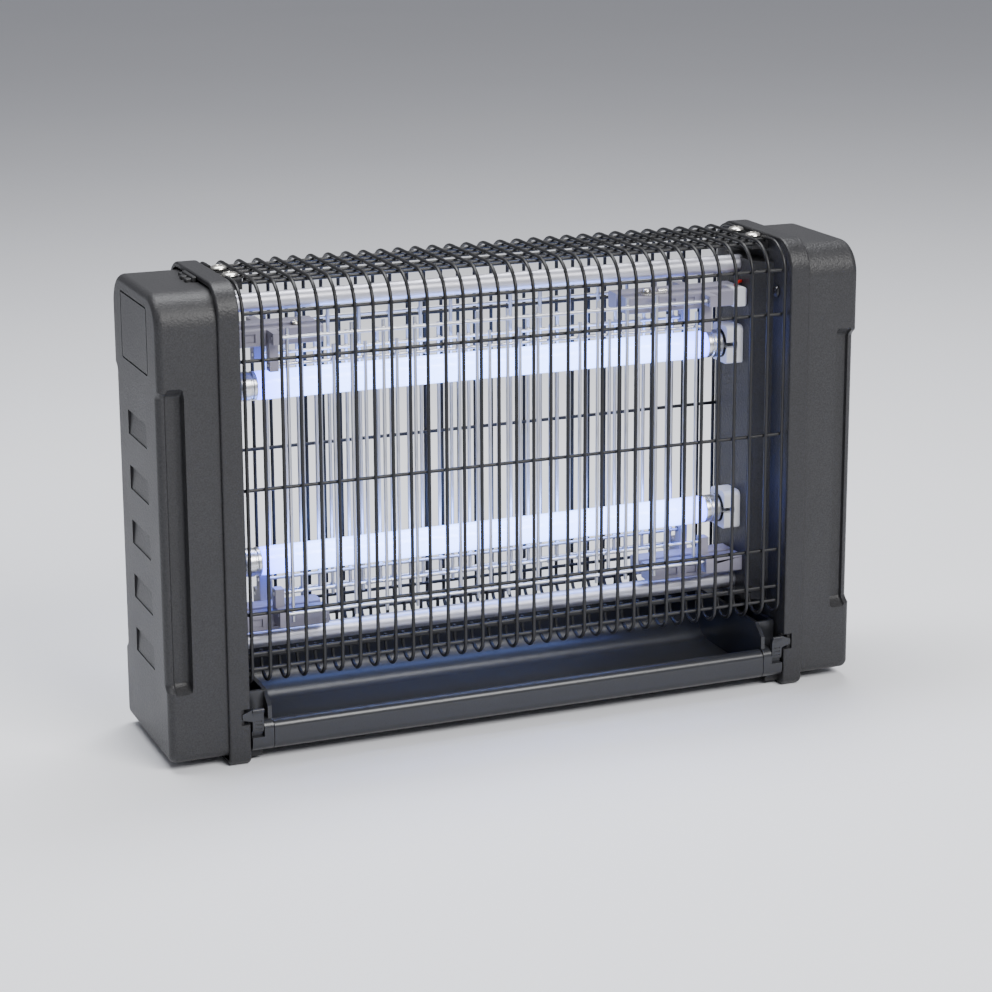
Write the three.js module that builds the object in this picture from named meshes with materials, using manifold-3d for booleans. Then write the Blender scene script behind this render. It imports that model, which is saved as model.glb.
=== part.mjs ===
// Electric bug zapper: two moulded end caps on two end frames, joined by two tie bars.
// Between the frames stand two ultraviolet tubes, a high-voltage grid on each side of them,
// a wire guard at the front and the rear, and a pull-out tray underneath.
// Millimetres. +X runs along the tubes, -Y is the front, +Z is up.
// The origin is under the middle of the unit, on the surface that it rests on.

import * as THREE from 'three';
import { mergeVertices } from 'three/addons/utils/BufferGeometryUtils.js';
import Module from 'manifold-3d';

const wasm = await Module();
wasm.setup();

// ---------------------------------------------------------------- driving dimensions

const fit = 0.3;                 // gap between pieces that touch
const overallWidth = 408;        // across both end caps
const overallHeight = 261;       // end frame, bottom to top
const overallDepth = 94;         // end frame, front to rear
const capWidth = 32.2;           // end cap along X
const frameWidth = 11.8;         // visible band of an end frame along X
const capStepDown = 4;           // cap top below the frame top
const capStepUp = 5;             // cap bottom above the frame bottom
const capInset = 2;              // cap face behind the frame face
const topRadius = 18;            // frame's top corners, seen from the side
const bottomRadius = 5;          // frame's bottom corners, seen from the side
const capEdge = 4;               // bevel on the cap's outer edge
const shellWall = 2.6;           // wall of caps and frames

const wireSize = 2.2;            // guard wire
const wireCount = 32;            // wires on a guard
const wireEndGap = 1.4;          // last wire to the frame wall
const guardSetback = 2.2;        // guard face behind the frame face
const guardTopDrop = 0.4;        // guard top below the frame top
const guardBend = 17;            // bend radius at the top
const guardSplit = 1.6;          // wire end to the middle plane
const hookClearance = 0.2;       // hook's centre line to the widest part of the lamp pad
const hookRise = 5;              // straight end of the hook
const guardFoot = 42;            // lowest point of the hooks
const guardUpperRodDrop = 42;    // rod behind the guard face, below the frame top
const guardLowerRodZ = 82;
const guardTopRods = [-8];       // rods under the guard top, from the middle plane

const guardScrewInset = 6;       // screw to the frame wall
const guardScrewY = 10.5;        // screw to the middle plane
const guardScrewHead = 9;        // head across
const guardScrewHeadHeight = 1.8;
const guardScrewShank = 4;
const lugThickness = 1.5;        // guard lug under the screw head
const tabThickness = 5;          // frame tab under the lug
const tabDepth = 36;             // frame tab front to rear
const tabReach = 10.4;           // frame tab out of the wall

const lampPadReach = 10;         // raised pad on the right frame that carries the lampholders
const lampPadWidth = 33;         // its flat face, front to rear
const lampPadFlare = 10;         // how far its sides spread towards the wall
const lampPadBottom = 46;
const lampPadDrop = 15;          // pad top below the frame top

const tubeDiameter = 15.8;
const tubeBaseLength = 10;
const tubeUpperDrop = 64.8;      // upper tube below the frame top
const tubeLowerZ = 98;
const pinDiameter = 2.3;
const pinSpacing = 4.8;
const pinLength = 6.6;
const holderThickness = 10.3;    // lampholder along X
const holderDepth = 18;          // lampholder front to rear
const holderHeight = 22;
const holderRecess = 9.6;        // well that the pins turn in
const holderSlot = 3.2;          // slot that the pins come in by

const tieBarDiameter = 10;
const tieBarUpperDrop = 19;      // upper tie bar below the frame top
const tieBarLowerZ = 54;
const tieBarSocket = 2;          // depth of the seat in the wall

const gridWire = 2.4;            // high-voltage wire
const gridWireCount = 28;        // both electrodes together
const gridMargin = 33.5;         // first and last wire to the walls
const liveY = 20;                // live electrode to the middle plane
const returnY = 16;              // return electrode to the middle plane
const liveBottom = 68;
const liveDrop = 30;             // live wires' top below the frame top
const liveRodInset = 5;          // rods to the wire ends
const returnBottom = 74;
const returnDrop = 42;           // return wires' top below the frame top
const returnRodInset = 9;
const rodOverlap = 0.6;          // how far a rod is sunk in the wires that it joins
const gridRodReach = 9;          // rod past the last wire

const insulatorDepth = 11;       // block front to rear
const insulatorNear = 2;         // block to the middle plane
const insulatorHeight = 9.5;
const insulatorUpperDrop = 41;   // underside of the upper blocks below the frame top
const insulatorLowerZ = 62;      // underside of the lower blocks
const insulatorLeftLength = 56;
const insulatorUpperRightLength = 75;
const insulatorLowerRightLength = 60;
const fingerWidth = 5;           // clip that holds a rod
const fingerWall = 1.6;

const trayGap = 0.8;             // tray to the frame walls
const trayRearInset = 3;         // rear wall in front of the frame's rear face
const trayBottom = 6.3;
const trayLipTop = 22.8;
const trayLipDepth = 7;
const trayRearTop = 37;
const trayLipRound = 3.5;
const trayFootRound = 4;
const trayRearRadius = 20;
const trayWall = 1.8;
const trayEndWidth = 12;
const railHeight = 4;            // ledge under each tray end
const railReach = 8;
const railInset = 7;             // rail ends to the frame faces

const trayEndWall = 2.2;         // inner wall of a tray end, which carries the latch pin
const latchThickness = 3;        // lever front to rear
const latchInset = 0.4;          // lever face behind the tray lip
const latchBottom = 12;
const latchTop = 31;
const latchHookHeight = 6;
const latchHookReach = 4.5;      // hook past the frame wall
const latchPivotInset = 6.5;     // pivot behind the tray lip
const latchPivotZ = 15.5;
const latchBossDiameter = 6.6;
const latchPinDiameter = 2.4;
const latchPocketDepth = 11.5;   // pocket in the tray end, from its front
const notchPlay = 0.6;           // frame notch round the latch hook
const notchSwing = 2.4;          // room under the hook, which dips as the lever tilts out

const notchWidth = 11;           // grip channel, along X
const notchDepth = 4.5;          // grip channel, along Y
const notchBottom = 40;
const notchDrop = 49;            // top of the grip channel below the frame top
const notchRamp = 9;             // sloped ends of the grip channel
const gillCount = 5;
const gillHeight = 12;
const gillLength = 37;
const gillDepth = 1.4;
const gillEdge = 0.3;            // depth at the shallow end of the ramp
const gillDrop = 75.5;           // top gill below the frame top
const gillBottomZ = 51.5;        // lower edge of the lowest gill
const panelHeight = 36.6;
const panelLength = 53;
const panelDrop = 12;            // label panel below the frame top
const grooveWidth = 0.8;
const grooveDepth = 0.6;

const boardThickness = 1.6;
const boardGap = 5;              // board to the back of the frame wall
const boardFoot = 75;            // lower edge of the boards
const boardDrop = 46;            // upper edge of the boards below the frame top
const boardInset = 17;           // board edges and cap screws to the frame faces
const chokeSize = [18, 34, 42];
const transformerSize = [22, 40, 50];
const capacitorDiameter = 14;
const capacitorLength = 22;
const terminalSize = [12, 22, 14];
const terminalRise = 6;          // terminal block above the board's lower edge
const capacitorGap = 8;          // capacitors above the terminal block
const coilRise = 45.5;           // middle of choke and transformer above the capacitors
const glandFlangeDiameter = 16;
const glandNeck = 10;
const glandBore = 6.5;
const glandFlange = 1.6;
const glandLength = 16;
const glandNutWidth = 16;
const glandNutThickness = 4;
const glandZ = 24;

const capScrewDiameter = 3.2;
const capScrewHead = 6.4;
const capScrewHeadHeight = 1.8;
const capScrewLength = 14;
const capPost = 9;               // post in the cap that takes the screw
const capScrewDrop = 31;         // upper cap screws below the frame top
const capScrewLowerZ = 60;
const snapPegPlace = [0, 14];    // peg between cap and frame, front to rear
const snapPegWidth = 4;
const snapSlotLength = 26;
const snapSlotWidth = 5;
const snapSlotDepth = 3.4;
const terminalScrewDiameter = 5.4;
const terminalScrewHeight = 2;
const terminalScrewInset = 14;   // screw to the free end of the block
const ringTerminalWidth = 9;
const ringTerminalThickness = 1;
const ringTerminalTail = 12;

// ---------------------------------------------------------------- worked-out places

const halfWidth = overallWidth / 2;
const seamX = halfWidth - capWidth;            // cap meets frame
const wallX = seamX - frameWidth;              // inner face of a frame
const capTop = overallHeight - capStepDown;
const capBottom = capStepUp;
const capHalfDepth = overallDepth / 2 - capInset;
const frameHalfDepth = overallDepth / 2;
const padX = wallX - lampPadReach;             // face that the right lampholders sit on
const guardY = frameHalfDepth - guardSetback - wireSize / 2;
const guardTopZ = overallHeight - guardTopDrop - wireSize / 2;
const hookRadius = (guardY - lampPadWidth / 2 - lampPadFlare - hookClearance) / 2;
const guardHookZ = guardFoot + wireSize / 2 + hookRadius;
const wireSpan = 2 * (wallX - wireEndGap - wireSize / 2);
const wirePitch = wireSpan / (wireCount - 1);
const lugReach = Math.max(tabReach, guardScrewInset + guardScrewHead / 2) + fit;
const lugWires = Math.ceil((lugReach - wireEndGap) / wirePitch);   // end wires that stop at the lug
const wireUnderside = guardTopZ - wireSize / 2;
const tabTop = wireUnderside - lugThickness + rodOverlap - fit;
const glandX = (seamX + halfWidth - notchWidth - capEdge) / 2;
const middleX = (padX - wallX) / 2;            // middle of the tubes and grids
const wallBack = wallX + shellWall;            // cap side of a frame wall
const guardScrewX = wallX - guardScrewInset;
const guardRodHeights = [overallHeight - guardUpperRodDrop, guardLowerRodZ];
const lampPadTop = overallHeight - lampPadDrop;
const tubeGlassLength = padX + wallX - 2 * (holderThickness + tubeBaseLength + 3 * fit);
const tubeUpperZ = overallHeight - tubeUpperDrop;
const tieBarUpperZ = overallHeight - tieBarUpperDrop;
const gridSpan = padX + wallX - 2 * gridMargin;   // first wire to last wire
const gridPitch = gridSpan / (gridWireCount - 1);
const liveTop = overallHeight - liveDrop;
const returnTop = overallHeight - returnDrop;
const insulatorUpperZ = overallHeight - insulatorUpperDrop;
const trayFront = frameHalfDepth;
const trayRear = frameHalfDepth - trayRearInset;
const latchFront = trayFront - latchInset;
const latchPivotY = trayFront - latchPivotInset;
const railHalf = frameHalfDepth - railInset;
const notchTop = overallHeight - notchDrop;
const gillTopZ = overallHeight - gillDrop;
const gillPitch = (gillTopZ - gillHeight - gillBottomZ) / (gillCount - 1);
const panelTopZ = overallHeight - panelDrop;
const boardHalf = frameHalfDepth - boardInset;
const boardTop = overallHeight - boardDrop;
const terminalZ = boardFoot + terminalRise + terminalSize[2] / 2;
const capacitorZ = terminalZ + terminalSize[2] / 2 + capacitorGap + capacitorDiameter / 2;
const coilZ = capacitorZ + capacitorDiameter / 2 + coilRise;
const capScrewPlaces = [                       // (Y, Z) on both ends
  [-boardHalf, overallHeight - capScrewDrop],
  [boardHalf, capScrewLowerZ],
];

// ---------------------------------------------------------------- materials

function plastic(color, roughness = 0.6) {
  return new THREE.MeshStandardMaterial({ color, roughness, metalness: 0 });
}

function metal(color, roughness = 0.3) {
  return new THREE.MeshStandardMaterial({ color, roughness, metalness: 1 });
}

const shellPlastic = plastic(0x3b3b3e, 0.7);
const framePlastic = plastic(0x36363a, 0.65);
const trayPlastic = plastic(0x3c3e46, 0.35);
const guardCoating = plastic(0x2b2c2f, 0.45);
const whitePlastic = plastic(0xe4e6ee, 0.5);
const insulatorPlastic = plastic(0xc4c2d4, 0.5);
const tubeGlassFinish = new THREE.MeshStandardMaterial({
  color: 0xdfe8ff, roughness: 0.2, metalness: 0, emissive: 0x6f8cff,
});
const brightSteel = metal(0xd5d6da, 0.22);
const gridSteel = metal(0xc3c6c9, 0.35);
const aluminium = metal(0xd2d3da, 0.3);
const boardGreen = plastic(0x2f6b45, 0.6);
const copper = metal(0xb87850, 0.35);
const blackPlastic = plastic(0x1d1d20, 0.5);

// ---------------------------------------------------------------- geometry helpers

// Turns a profile drawn in (Y, Z) and extruded along its own Z so that it runs along X.
const profileToX = new THREE.Matrix4().makeBasis(
  new THREE.Vector3(0, 1, 0),
  new THREE.Vector3(0, 0, 1),
  new THREE.Vector3(1, 0, 0),
);

function cuboid(x0, x1, y0, y1, z0, z1) {
  const geometry = new THREE.BoxGeometry(x1 - x0, y1 - y0, z1 - z0);
  return geometry.translate((x0 + x1) / 2, (y0 + y1) / 2, (z0 + z1) / 2);
}

function alongX(outline, x0, x1) {
  const shape = new THREE.Shape(outline.map(([y, z]) => new THREE.Vector2(y, z)));
  const geometry = new THREE.ExtrudeGeometry(shape, { depth: x1 - x0, bevelEnabled: false, steps: 1 });
  return geometry.applyMatrix4(profileToX).translate(x0, 0, 0);
}

function rod(axis, diameter, from, to, a, b, sides = 12) {
  const geometry = new THREE.CylinderGeometry(diameter / 2, diameter / 2, to - from, sides);
  const middle = (from + to) / 2;
  if (axis === 'x') return geometry.rotateZ(Math.PI / 2).translate(middle, a, b);
  if (axis === 'y') return geometry.translate(a, middle, b);
  return geometry.rotateX(Math.PI / 2).translate(a, b, middle);
}

function arc(cy, cz, radius, fromDegrees, toDegrees, steps) {
  return Array.from({ length: steps + 1 }, (_, i) => {
    const angle = THREE.MathUtils.degToRad(fromDegrees + (toDegrees - fromDegrees) * i / steps);
    return [cy + radius * Math.cos(angle), cz + radius * Math.sin(angle)];
  });
}

// Outline of a frame or cap seen from the side, counter-clockwise from the bottom rear.
function sideOutline(halfDepth, z0, z1, rTop, rBottom, steps = 4) {
  return [
    ...arc(halfDepth - rBottom, z0 + rBottom, rBottom, -90, 0, 2),
    ...arc(halfDepth - rTop, z1 - rTop, rTop, 0, 90, steps),
    ...arc(-halfDepth + rTop, z1 - rTop, rTop, 90, 180, steps),
    ...arc(-halfDepth + rBottom, z0 + rBottom, rBottom, 180, 270, 2),
  ];
}

// Ribbon of even width that follows a centre line in (Y, Z).
function ribbonOutline(line, width) {
  const side = line.map(([y, z], i) => {
    const [py, pz] = line[Math.max(i - 1, 0)];
    const [ny, nz] = line[Math.min(i + 1, line.length - 1)];
    const before = Math.atan2(z - pz, y - py);
    const after = Math.atan2(nz - z, ny - y);
    const first = i === 0 ? after : before;
    const last = i === line.length - 1 ? before : after;
    let turn = last - first;
    turn -= 2 * Math.PI * Math.round(turn / (2 * Math.PI));
    const reach = width / 2 / Math.cos(turn / 2);
    const normal = first + turn / 2 + Math.PI / 2;
    return [Math.cos(normal) * reach, Math.sin(normal) * reach];
  });
  const left = line.map(([y, z], i) => [y + side[i][0], z + side[i][1]]);
  const right = line.map(([y, z], i) => [y - side[i][0], z - side[i][1]]);
  return [...right, ...left.reverse()];
}

function toSolid(geometry) {
  const bare = geometry.clone();
  bare.deleteAttribute('normal');
  bare.deleteAttribute('uv');
  const merged = mergeVertices(bare, 1e-4);
  return new wasm.Manifold(new wasm.Mesh({
    numProp: 3,
    vertProperties: Float32Array.from(merged.attributes.position.array),
    triVerts: Uint32Array.from(merged.index.array),
  }));
}

function toGeometry(solid) {
  const mesh = solid.getMesh();
  const geometry = new THREE.BufferGeometry();
  geometry.setAttribute('position', new THREE.BufferAttribute(Float32Array.from(mesh.vertProperties), 3));
  geometry.setIndex(new THREE.BufferAttribute(Uint32Array.from(mesh.triVerts), 1));
  geometry.computeVertexNormals();
  return geometry;
}

// Joins the first list of geometries and cuts the second list out of the result.
function build(joined, cut = []) {
  let solid = toSolid(joined[0]);
  for (const geometry of joined.slice(1)) solid = solid.add(toSolid(geometry));
  for (const geometry of cut) solid = solid.subtract(toSolid(geometry));
  return toGeometry(solid);
}

// Mirrors a closed geometry in X or Y and keeps its faces pointing out.
function mirrored(geometry, sx, sy) {
  const copy = (geometry.index ? geometry.toNonIndexed() : geometry.clone());
  copy.deleteAttribute('uv');
  copy.scale(sx, sy, 1);
  if (sx * sy > 0) return copy;
  const position = copy.attributes.position;
  for (let i = 0; i < position.count; i += 3) {
    const a = new THREE.Vector3().fromBufferAttribute(position, i);
    const b = new THREE.Vector3().fromBufferAttribute(position, i + 1);
    position.setXYZ(i, b.x, b.y, b.z);
    position.setXYZ(i + 1, a.x, a.y, a.z);
  }
  copy.computeVertexNormals();
  return copy;
}

const zapper = new THREE.Group();

function place(name, geometry, material) {
  const mesh = new THREE.Mesh(geometry, material);
  mesh.name = name;
  zapper.add(mesh);
  return mesh;
}

// ---------------------------------------------------------------- end caps

// Right-hand cap: a bevelled, hollow cover, open towards the frame.
function capShell() {
  const outline = sideOutline(capHalfDepth, capBottom, capTop, topRadius, bottomRadius);
  const body = alongX(outline, seamX + fit, halfWidth - capEdge);
  const small = sideOutline(
    capHalfDepth - capEdge, capBottom + capEdge, capTop - capEdge, topRadius - capEdge, 1,
  );
  const inner = sideOutline(
    capHalfDepth - notchDepth - shellWall, capBottom + shellWall, capTop - shellWall,
    topRadius - shellWall, 2,
  );
  const crown = loft(outline, halfWidth - capEdge, small, halfWidth);
  const cavity = alongX(inner, seamX - 1, halfWidth - shellWall - gillDepth - gillEdge);
  return { joined: [body, crown], cavity };
}

// Solid between two outlines with the same number of points, at two places along X.
function loft(first, x0, second, x1) {
  const position = [];
  const index = [];
  const n = first.length;
  first.forEach(([y, z]) => position.push(x0, y, z));
  second.forEach(([y, z]) => position.push(x1, y, z));
  for (let i = 0; i < n; i += 1) {
    const j = (i + 1) % n;
    index.push(i, j, n + j, i, n + j, n + i);
  }
  const flat = (outline) => THREE.ShapeUtils.triangulateShape(
    outline.map(([y, z]) => new THREE.Vector2(y, z)), [],
  );
  flat(first).forEach(([a, b, c]) => index.push(a, c, b));
  flat(second).forEach(([a, b, c]) => index.push(n + a, n + b, n + c));
  const geometry = new THREE.BufferGeometry();
  geometry.setAttribute('position', new THREE.Float32BufferAttribute(position, 3));
  geometry.setIndex(index);
  return geometry;
}

// Grip channel along a vertical corner, with sloped ends.
function gripChannel(sideY) {
  const y1 = capHalfDepth + 1;
  const y0 = capHalfDepth - notchDepth;
  const outline = [
    [y0, notchBottom + notchRamp],
    [y1, notchBottom + notchRamp - (y1 - y0)],
    [y1, notchTop - notchRamp + (y1 - y0)],
    [y0, notchTop - notchRamp],
  ];
  const channel = alongX(outline, halfWidth - notchWidth - capEdge, halfWidth + 1);
  return sideY > 0 ? channel : mirrored(channel, 1, -1);
}

function gill(index) {
  const top = gillTopZ - index * gillPitch;
  const wedge = new THREE.Shape([
    new THREE.Vector2(halfWidth + 1, top),
    new THREE.Vector2(halfWidth + 1, top - gillHeight),
    new THREE.Vector2(halfWidth - gillEdge, top - gillHeight),
    new THREE.Vector2(halfWidth - gillDepth, top),
  ]);
  const geometry = new THREE.ExtrudeGeometry(wedge, { depth: gillLength, bevelEnabled: false });
  return geometry.rotateX(Math.PI / 2).translate(0, gillLength / 2, 0);
}

// Thin groove round the label panel.
function panelGroove() {
  const half = panelLength / 2;
  const bottom = panelTopZ - panelHeight;
  const x0 = halfWidth - grooveDepth;
  const x1 = halfWidth + 1;
  const g = grooveWidth;
  return build(
    [cuboid(x0, x1, -half, half, bottom, panelTopZ)],
    [cuboid(x0 - 1, x1 + 1, -half + g, half - g, bottom + g, panelTopZ - g)],
  );
}

// Posts from the cap's outer wall to the back of the frame wall, and the screw holes in them.
function capPosts() {
  const x1 = halfWidth - shellWall;
  const x0 = wallBack + fit;
  const bore = capScrewDiameter + 2 * fit;
  return {
    posts: capScrewPlaces.map(([y, z]) => rod('x', capPost, x0, x1, y, z, 12)),
    bores: capScrewPlaces.map(([y, z]) => rod('x', bore, x0 - 1, x0 + capScrewLength, y, z, 12)),
  };
}

function snapSlot() {
  const [y0, y1] = snapPegPlace;
  const middle = (y0 + y1) / 2;
  return cuboid(
    seamX - 1, seamX + snapSlotWidth,
    middle - snapSlotLength / 2, middle + snapSlotLength / 2,
    capTop - snapSlotDepth, capTop + 1,
  );
}

function endCap(isRight) {
  const { joined, cavity } = capShell();
  const { posts, bores } = capPosts();
  const cuts = [gripChannel(1), gripChannel(-1), panelGroove(), ...bores];
  for (let i = 0; i < gillCount; i += 1) cuts.push(gill(i));
  if (isRight) cuts.push(rod('y', glandNeck + 2 * fit, 20, 60, glandX, glandZ));
  else cuts.push(snapSlot());
  const shell = build(joined, [cavity]);
  const geometry = build([shell, ...posts], cuts);
  return isRight ? geometry : mirrored(geometry, -1, 1);
}

place('left_end_cap', endCap(false), shellPlastic);
place('right_end_cap', endCap(true), shellPlastic);

// ---------------------------------------------------------------- end frames

function lampPad() {
  const half = lampPadWidth / 2;
  const outline = new THREE.Shape([
    new THREE.Vector2(wallX + 1, -half - lampPadFlare),
    new THREE.Vector2(wallX + 1, half + lampPadFlare),
    new THREE.Vector2(padX, half),
    new THREE.Vector2(padX, -half),
  ]);
  const geometry = new THREE.ExtrudeGeometry(outline, {
    depth: lampPadTop - lampPadBottom, bevelEnabled: false,
  });
  return geometry.translate(0, 0, lampPadBottom);
}

function endFrame(isRight) {
  const outer = sideOutline(frameHalfDepth, 0, overallHeight, topRadius, bottomRadius);
  const inner = sideOutline(
    frameHalfDepth - shellWall, shellWall, overallHeight - shellWall,
    topRadius - shellWall, bottomRadius - shellWall,
  );
  const faceX = isRight ? padX : wallX;
  const joined = [
    alongX(outer, wallX, seamX),
    cuboid(wallX - tabReach, wallX + 1, -tabDepth / 2, tabDepth / 2, tabTop - tabThickness, tabTop),
    cuboid(wallX - railReach, wallX + 1, -railHalf, railHalf,
      trayBottom - fit - railHeight, trayBottom - fit),
  ];
  if (isRight) joined.push(lampPad());
  const cuts = [
    alongX(inner, wallX + shellWall, seamX + 1),
    latchNotch(),
  ];
  for (const sign of [1, -1]) {
    const bore = guardScrewShank + 2 * fit;
    cuts.push(rod('z', bore, tabTop - tabThickness - 1, tabTop + 1, guardScrewX, sign * guardScrewY));
  }
  for (const [y, z] of capScrewPlaces) {
    cuts.push(rod('x', capScrewDiameter + 2 * fit, padX - 1, seamX, y, z));
    cuts.push(rod('x', capScrewHead + 2 * fit, padX - 1, wallX, y, z, 16));
  }
  for (const z of [tieBarUpperZ, tieBarLowerZ]) {
    const seat = tieBarDiameter + 2 * fit;
    cuts.push(rod('x', seat, faceX - 1, faceX + tieBarSocket + fit, 0, z));
  }
  const geometry = build(joined, cuts);
  return isRight ? geometry : mirrored(geometry, -1, 1);
}

// Notch in the front of a frame that the tray latch hooks into.
function latchNotch() {
  return cuboid(
    wallX - 1, wallX + latchHookReach + notchPlay,
    -frameHalfDepth - 1, -latchFront + latchThickness + notchPlay,
    latchTop - latchHookHeight - notchSwing, latchTop + notchPlay,
  );
}

place('left_end_frame', endFrame(false), framePlastic);
place('right_end_frame', endFrame(true), framePlastic);

// ---------------------------------------------------------------- tie bars

function tieBar(z) {
  return rod('x', tieBarDiameter, -wallX - tieBarSocket, padX + tieBarSocket, 0, z, 16);
}

place('upper_tie_bar', tieBar(tieBarUpperZ), aluminium);
place('lower_tie_bar', tieBar(tieBarLowerZ), aluminium);

// ---------------------------------------------------------------- guards

function guardLine(startY) {
  return [
    [startY, guardTopZ],
    ...arc(-guardY + guardBend, guardTopZ - guardBend, guardBend, 90, 180, 3),
    ...arc(-guardY + hookRadius, guardHookZ, hookRadius, 180, 360, 4),
    [-guardY + 2 * hookRadius, guardHookZ + hookRise],
  ];
}

function guardLug(sign) {
  const x0 = guardScrewX - guardScrewHead / 2;
  const x1 = wireSpan / 2 + wireSize / 2;
  const z1 = wireUnderside + rodOverlap;
  const plate = cuboid(
    x0, x1, -guardScrewY - guardScrewHead, -guardScrewY + guardScrewHead / 2, z1 - lugThickness, z1,
  );
  const hole = rod('z', guardScrewShank + 2 * fit, z1 - 5, z1 + 5, guardScrewX, -guardScrewY);
  const lug = build([plate], [hole]);
  return sign > 0 ? lug : mirrored(lug, -1, 1);
}

function guard() {
  const wires = [];
  for (let i = 0; i < wireCount; i += 1) {
    const x = -wireSpan / 2 + i * wirePitch;
    const meetsLug = Math.min(i, wireCount - 1 - i) < lugWires;
    const startY = meetsLug ? -guardScrewY - guardScrewHead / 2 - 1 : -guardSplit;
    const outline = ribbonOutline(guardLine(startY), wireSize);
    wires.push(alongX(outline, x - wireSize / 2, x + wireSize / 2));
  }
  const end = wireSpan / 2 + wireSize / 2;
  const inside = -guardY + wireSize / 2 - rodOverlap;
  const rods = guardRodHeights.map((z) => (
    cuboid(-end, end, inside, inside + wireSize, z - wireSize / 2, z + wireSize / 2)));
  const under = wireUnderside + rodOverlap;
  const reach = wireSpan / 2 - lugWires * wirePitch + wireSize / 2;
  guardTopRods.forEach((y) => {
    rods.push(cuboid(-reach, reach, y - wireSize / 2, y + wireSize / 2, under - wireSize, under));
  });
  return build([...rods, guardLug(1), guardLug(-1), ...wires]);
}

const guardGeometry = guard();
place('front_guard', guardGeometry, guardCoating);
place('rear_guard', guardGeometry, guardCoating).rotation.z = Math.PI;

function guardScrew() {
  const seat = wireUnderside + rodOverlap + fit;
  return build([
    rod('z', guardScrewHead, seat, seat + guardScrewHeadHeight, 0, 0, 16),
    rod('z', guardScrewShank, seat - lugThickness - tabThickness, seat + 0.5, 0, 0, 12),
  ]);
}

for (const [side, sx] of [['left', -1], ['right', 1]]) {
  for (const [face, sy] of [['front', -1], ['rear', 1]]) {
    const screw = place(`guard_screw_${face}_${side}`, guardScrew(), brightSteel);
    screw.position.set(sx * guardScrewX, sy * guardScrewY, 0);
  }
}

// ---------------------------------------------------------------- tubes and lampholders

function tubeBase() {
  const half = pinSpacing / 2;
  return build([
    rod('x', tubeDiameter + 0.2, 0, tubeBaseLength, 0, 0, 16),
    rod('x', pinDiameter, tubeBaseLength - 1, tubeBaseLength + pinLength, 0, half, 8),
    rod('x', pinDiameter, tubeBaseLength - 1, tubeBaseLength + pinLength, 0, -half, 8),
  ]);
}

// Lampholder for the +X end of a tube, its open face at X = 0.
function lampholder(thickness) {
  const half = holderDepth / 2;
  const body = cuboid(0, thickness, -half, half, -holderHeight / 2, holderHeight / 2);
  const well = rod('x', holderRecess, -1, pinLength + fit, 0, 0, 12);
  const slot = cuboid(-1, pinLength + fit, -half - 1, 0, -holderSlot / 2, holderSlot / 2);
  return build([body], [well, slot]);
}

for (const [level, z] of [['upper', tubeUpperZ], ['lower', tubeLowerZ]]) {
  const halfGlass = tubeGlassLength / 2;
  const glass = place(`${level}_tube_glass`,
    rod('x', tubeDiameter, -halfGlass, halfGlass, 0, 0, 16), tubeGlassFinish);
  glass.position.set(middleX, 0, z);
  for (const [side, sx] of [['left', -1], ['right', 1]]) {
    const turn = sx < 0 ? Math.PI : 0;
    const base = place(`${level}_tube_base_${side}`, tubeBase(), aluminium);
    base.position.set(middleX + sx * (halfGlass + fit), 0, z);
    base.rotation.y = turn;
    const holder = place(`lampholder_${level}_${side}`,
      mirrored(lampholder(holderThickness), sx, 1), whitePlastic);
    holder.position.set(middleX + sx * (halfGlass + tubeBaseLength + 2 * fit), 0, z);
  }
}

// ---------------------------------------------------------------- high-voltage grids

// One electrode of the front grid: every other wire, joined by two rods.
function electrode(first, y, bottom, top, rodInset, rodSide) {
  const start = middleX - gridSpan / 2;
  const half = gridWire / 2;
  const wires = [];
  for (let i = first; i < gridWireCount; i += 2) {
    const x = start + i * gridPitch;
    wires.push(cuboid(x - half, x + half, -y - half, -y + half, bottom, top));
  }
  const rodY = -y + rodSide * (gridWire - rodOverlap);
  const reach = gridSpan / 2 + gridRodReach;
  const rods = [bottom + rodInset, top - rodInset].map((z) => cuboid(
    middleX - reach, middleX + reach, rodY - half, rodY + half, z - half, z + half));
  return build([...rods, ...wires]);
}

const live = electrode(0, liveY, liveBottom, liveTop, liveRodInset, -1);
const back = electrode(1, returnY, returnBottom, returnTop, returnRodInset, 1);
place('front_grid_live', live, gridSteel);
place('front_grid_return', back, gridSteel);
place('rear_grid_live', mirrored(live, 1, -1), gridSteel);
place('rear_grid_return', mirrored(back, 1, -1), gridSteel);

// Clip round one grid rod, reaching from the block to the rod.
function rodClip(x, rodY, rodZ, blockY, blockZ) {
  const half = gridWire / 2 + fit;
  const wall = half + fingerWall;
  const body = cuboid(
    x - fingerWidth / 2, x + fingerWidth / 2,
    Math.min(rodY - wall, blockY), Math.max(rodY + wall, blockY),
    Math.min(rodZ - wall, blockZ), Math.max(rodZ + wall, blockZ),
  );
  const hole = cuboid(x - fingerWidth, x + fingerWidth, rodY - half, rodY + half, rodZ - half, rodZ + half);
  return { body, hole };
}

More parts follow.
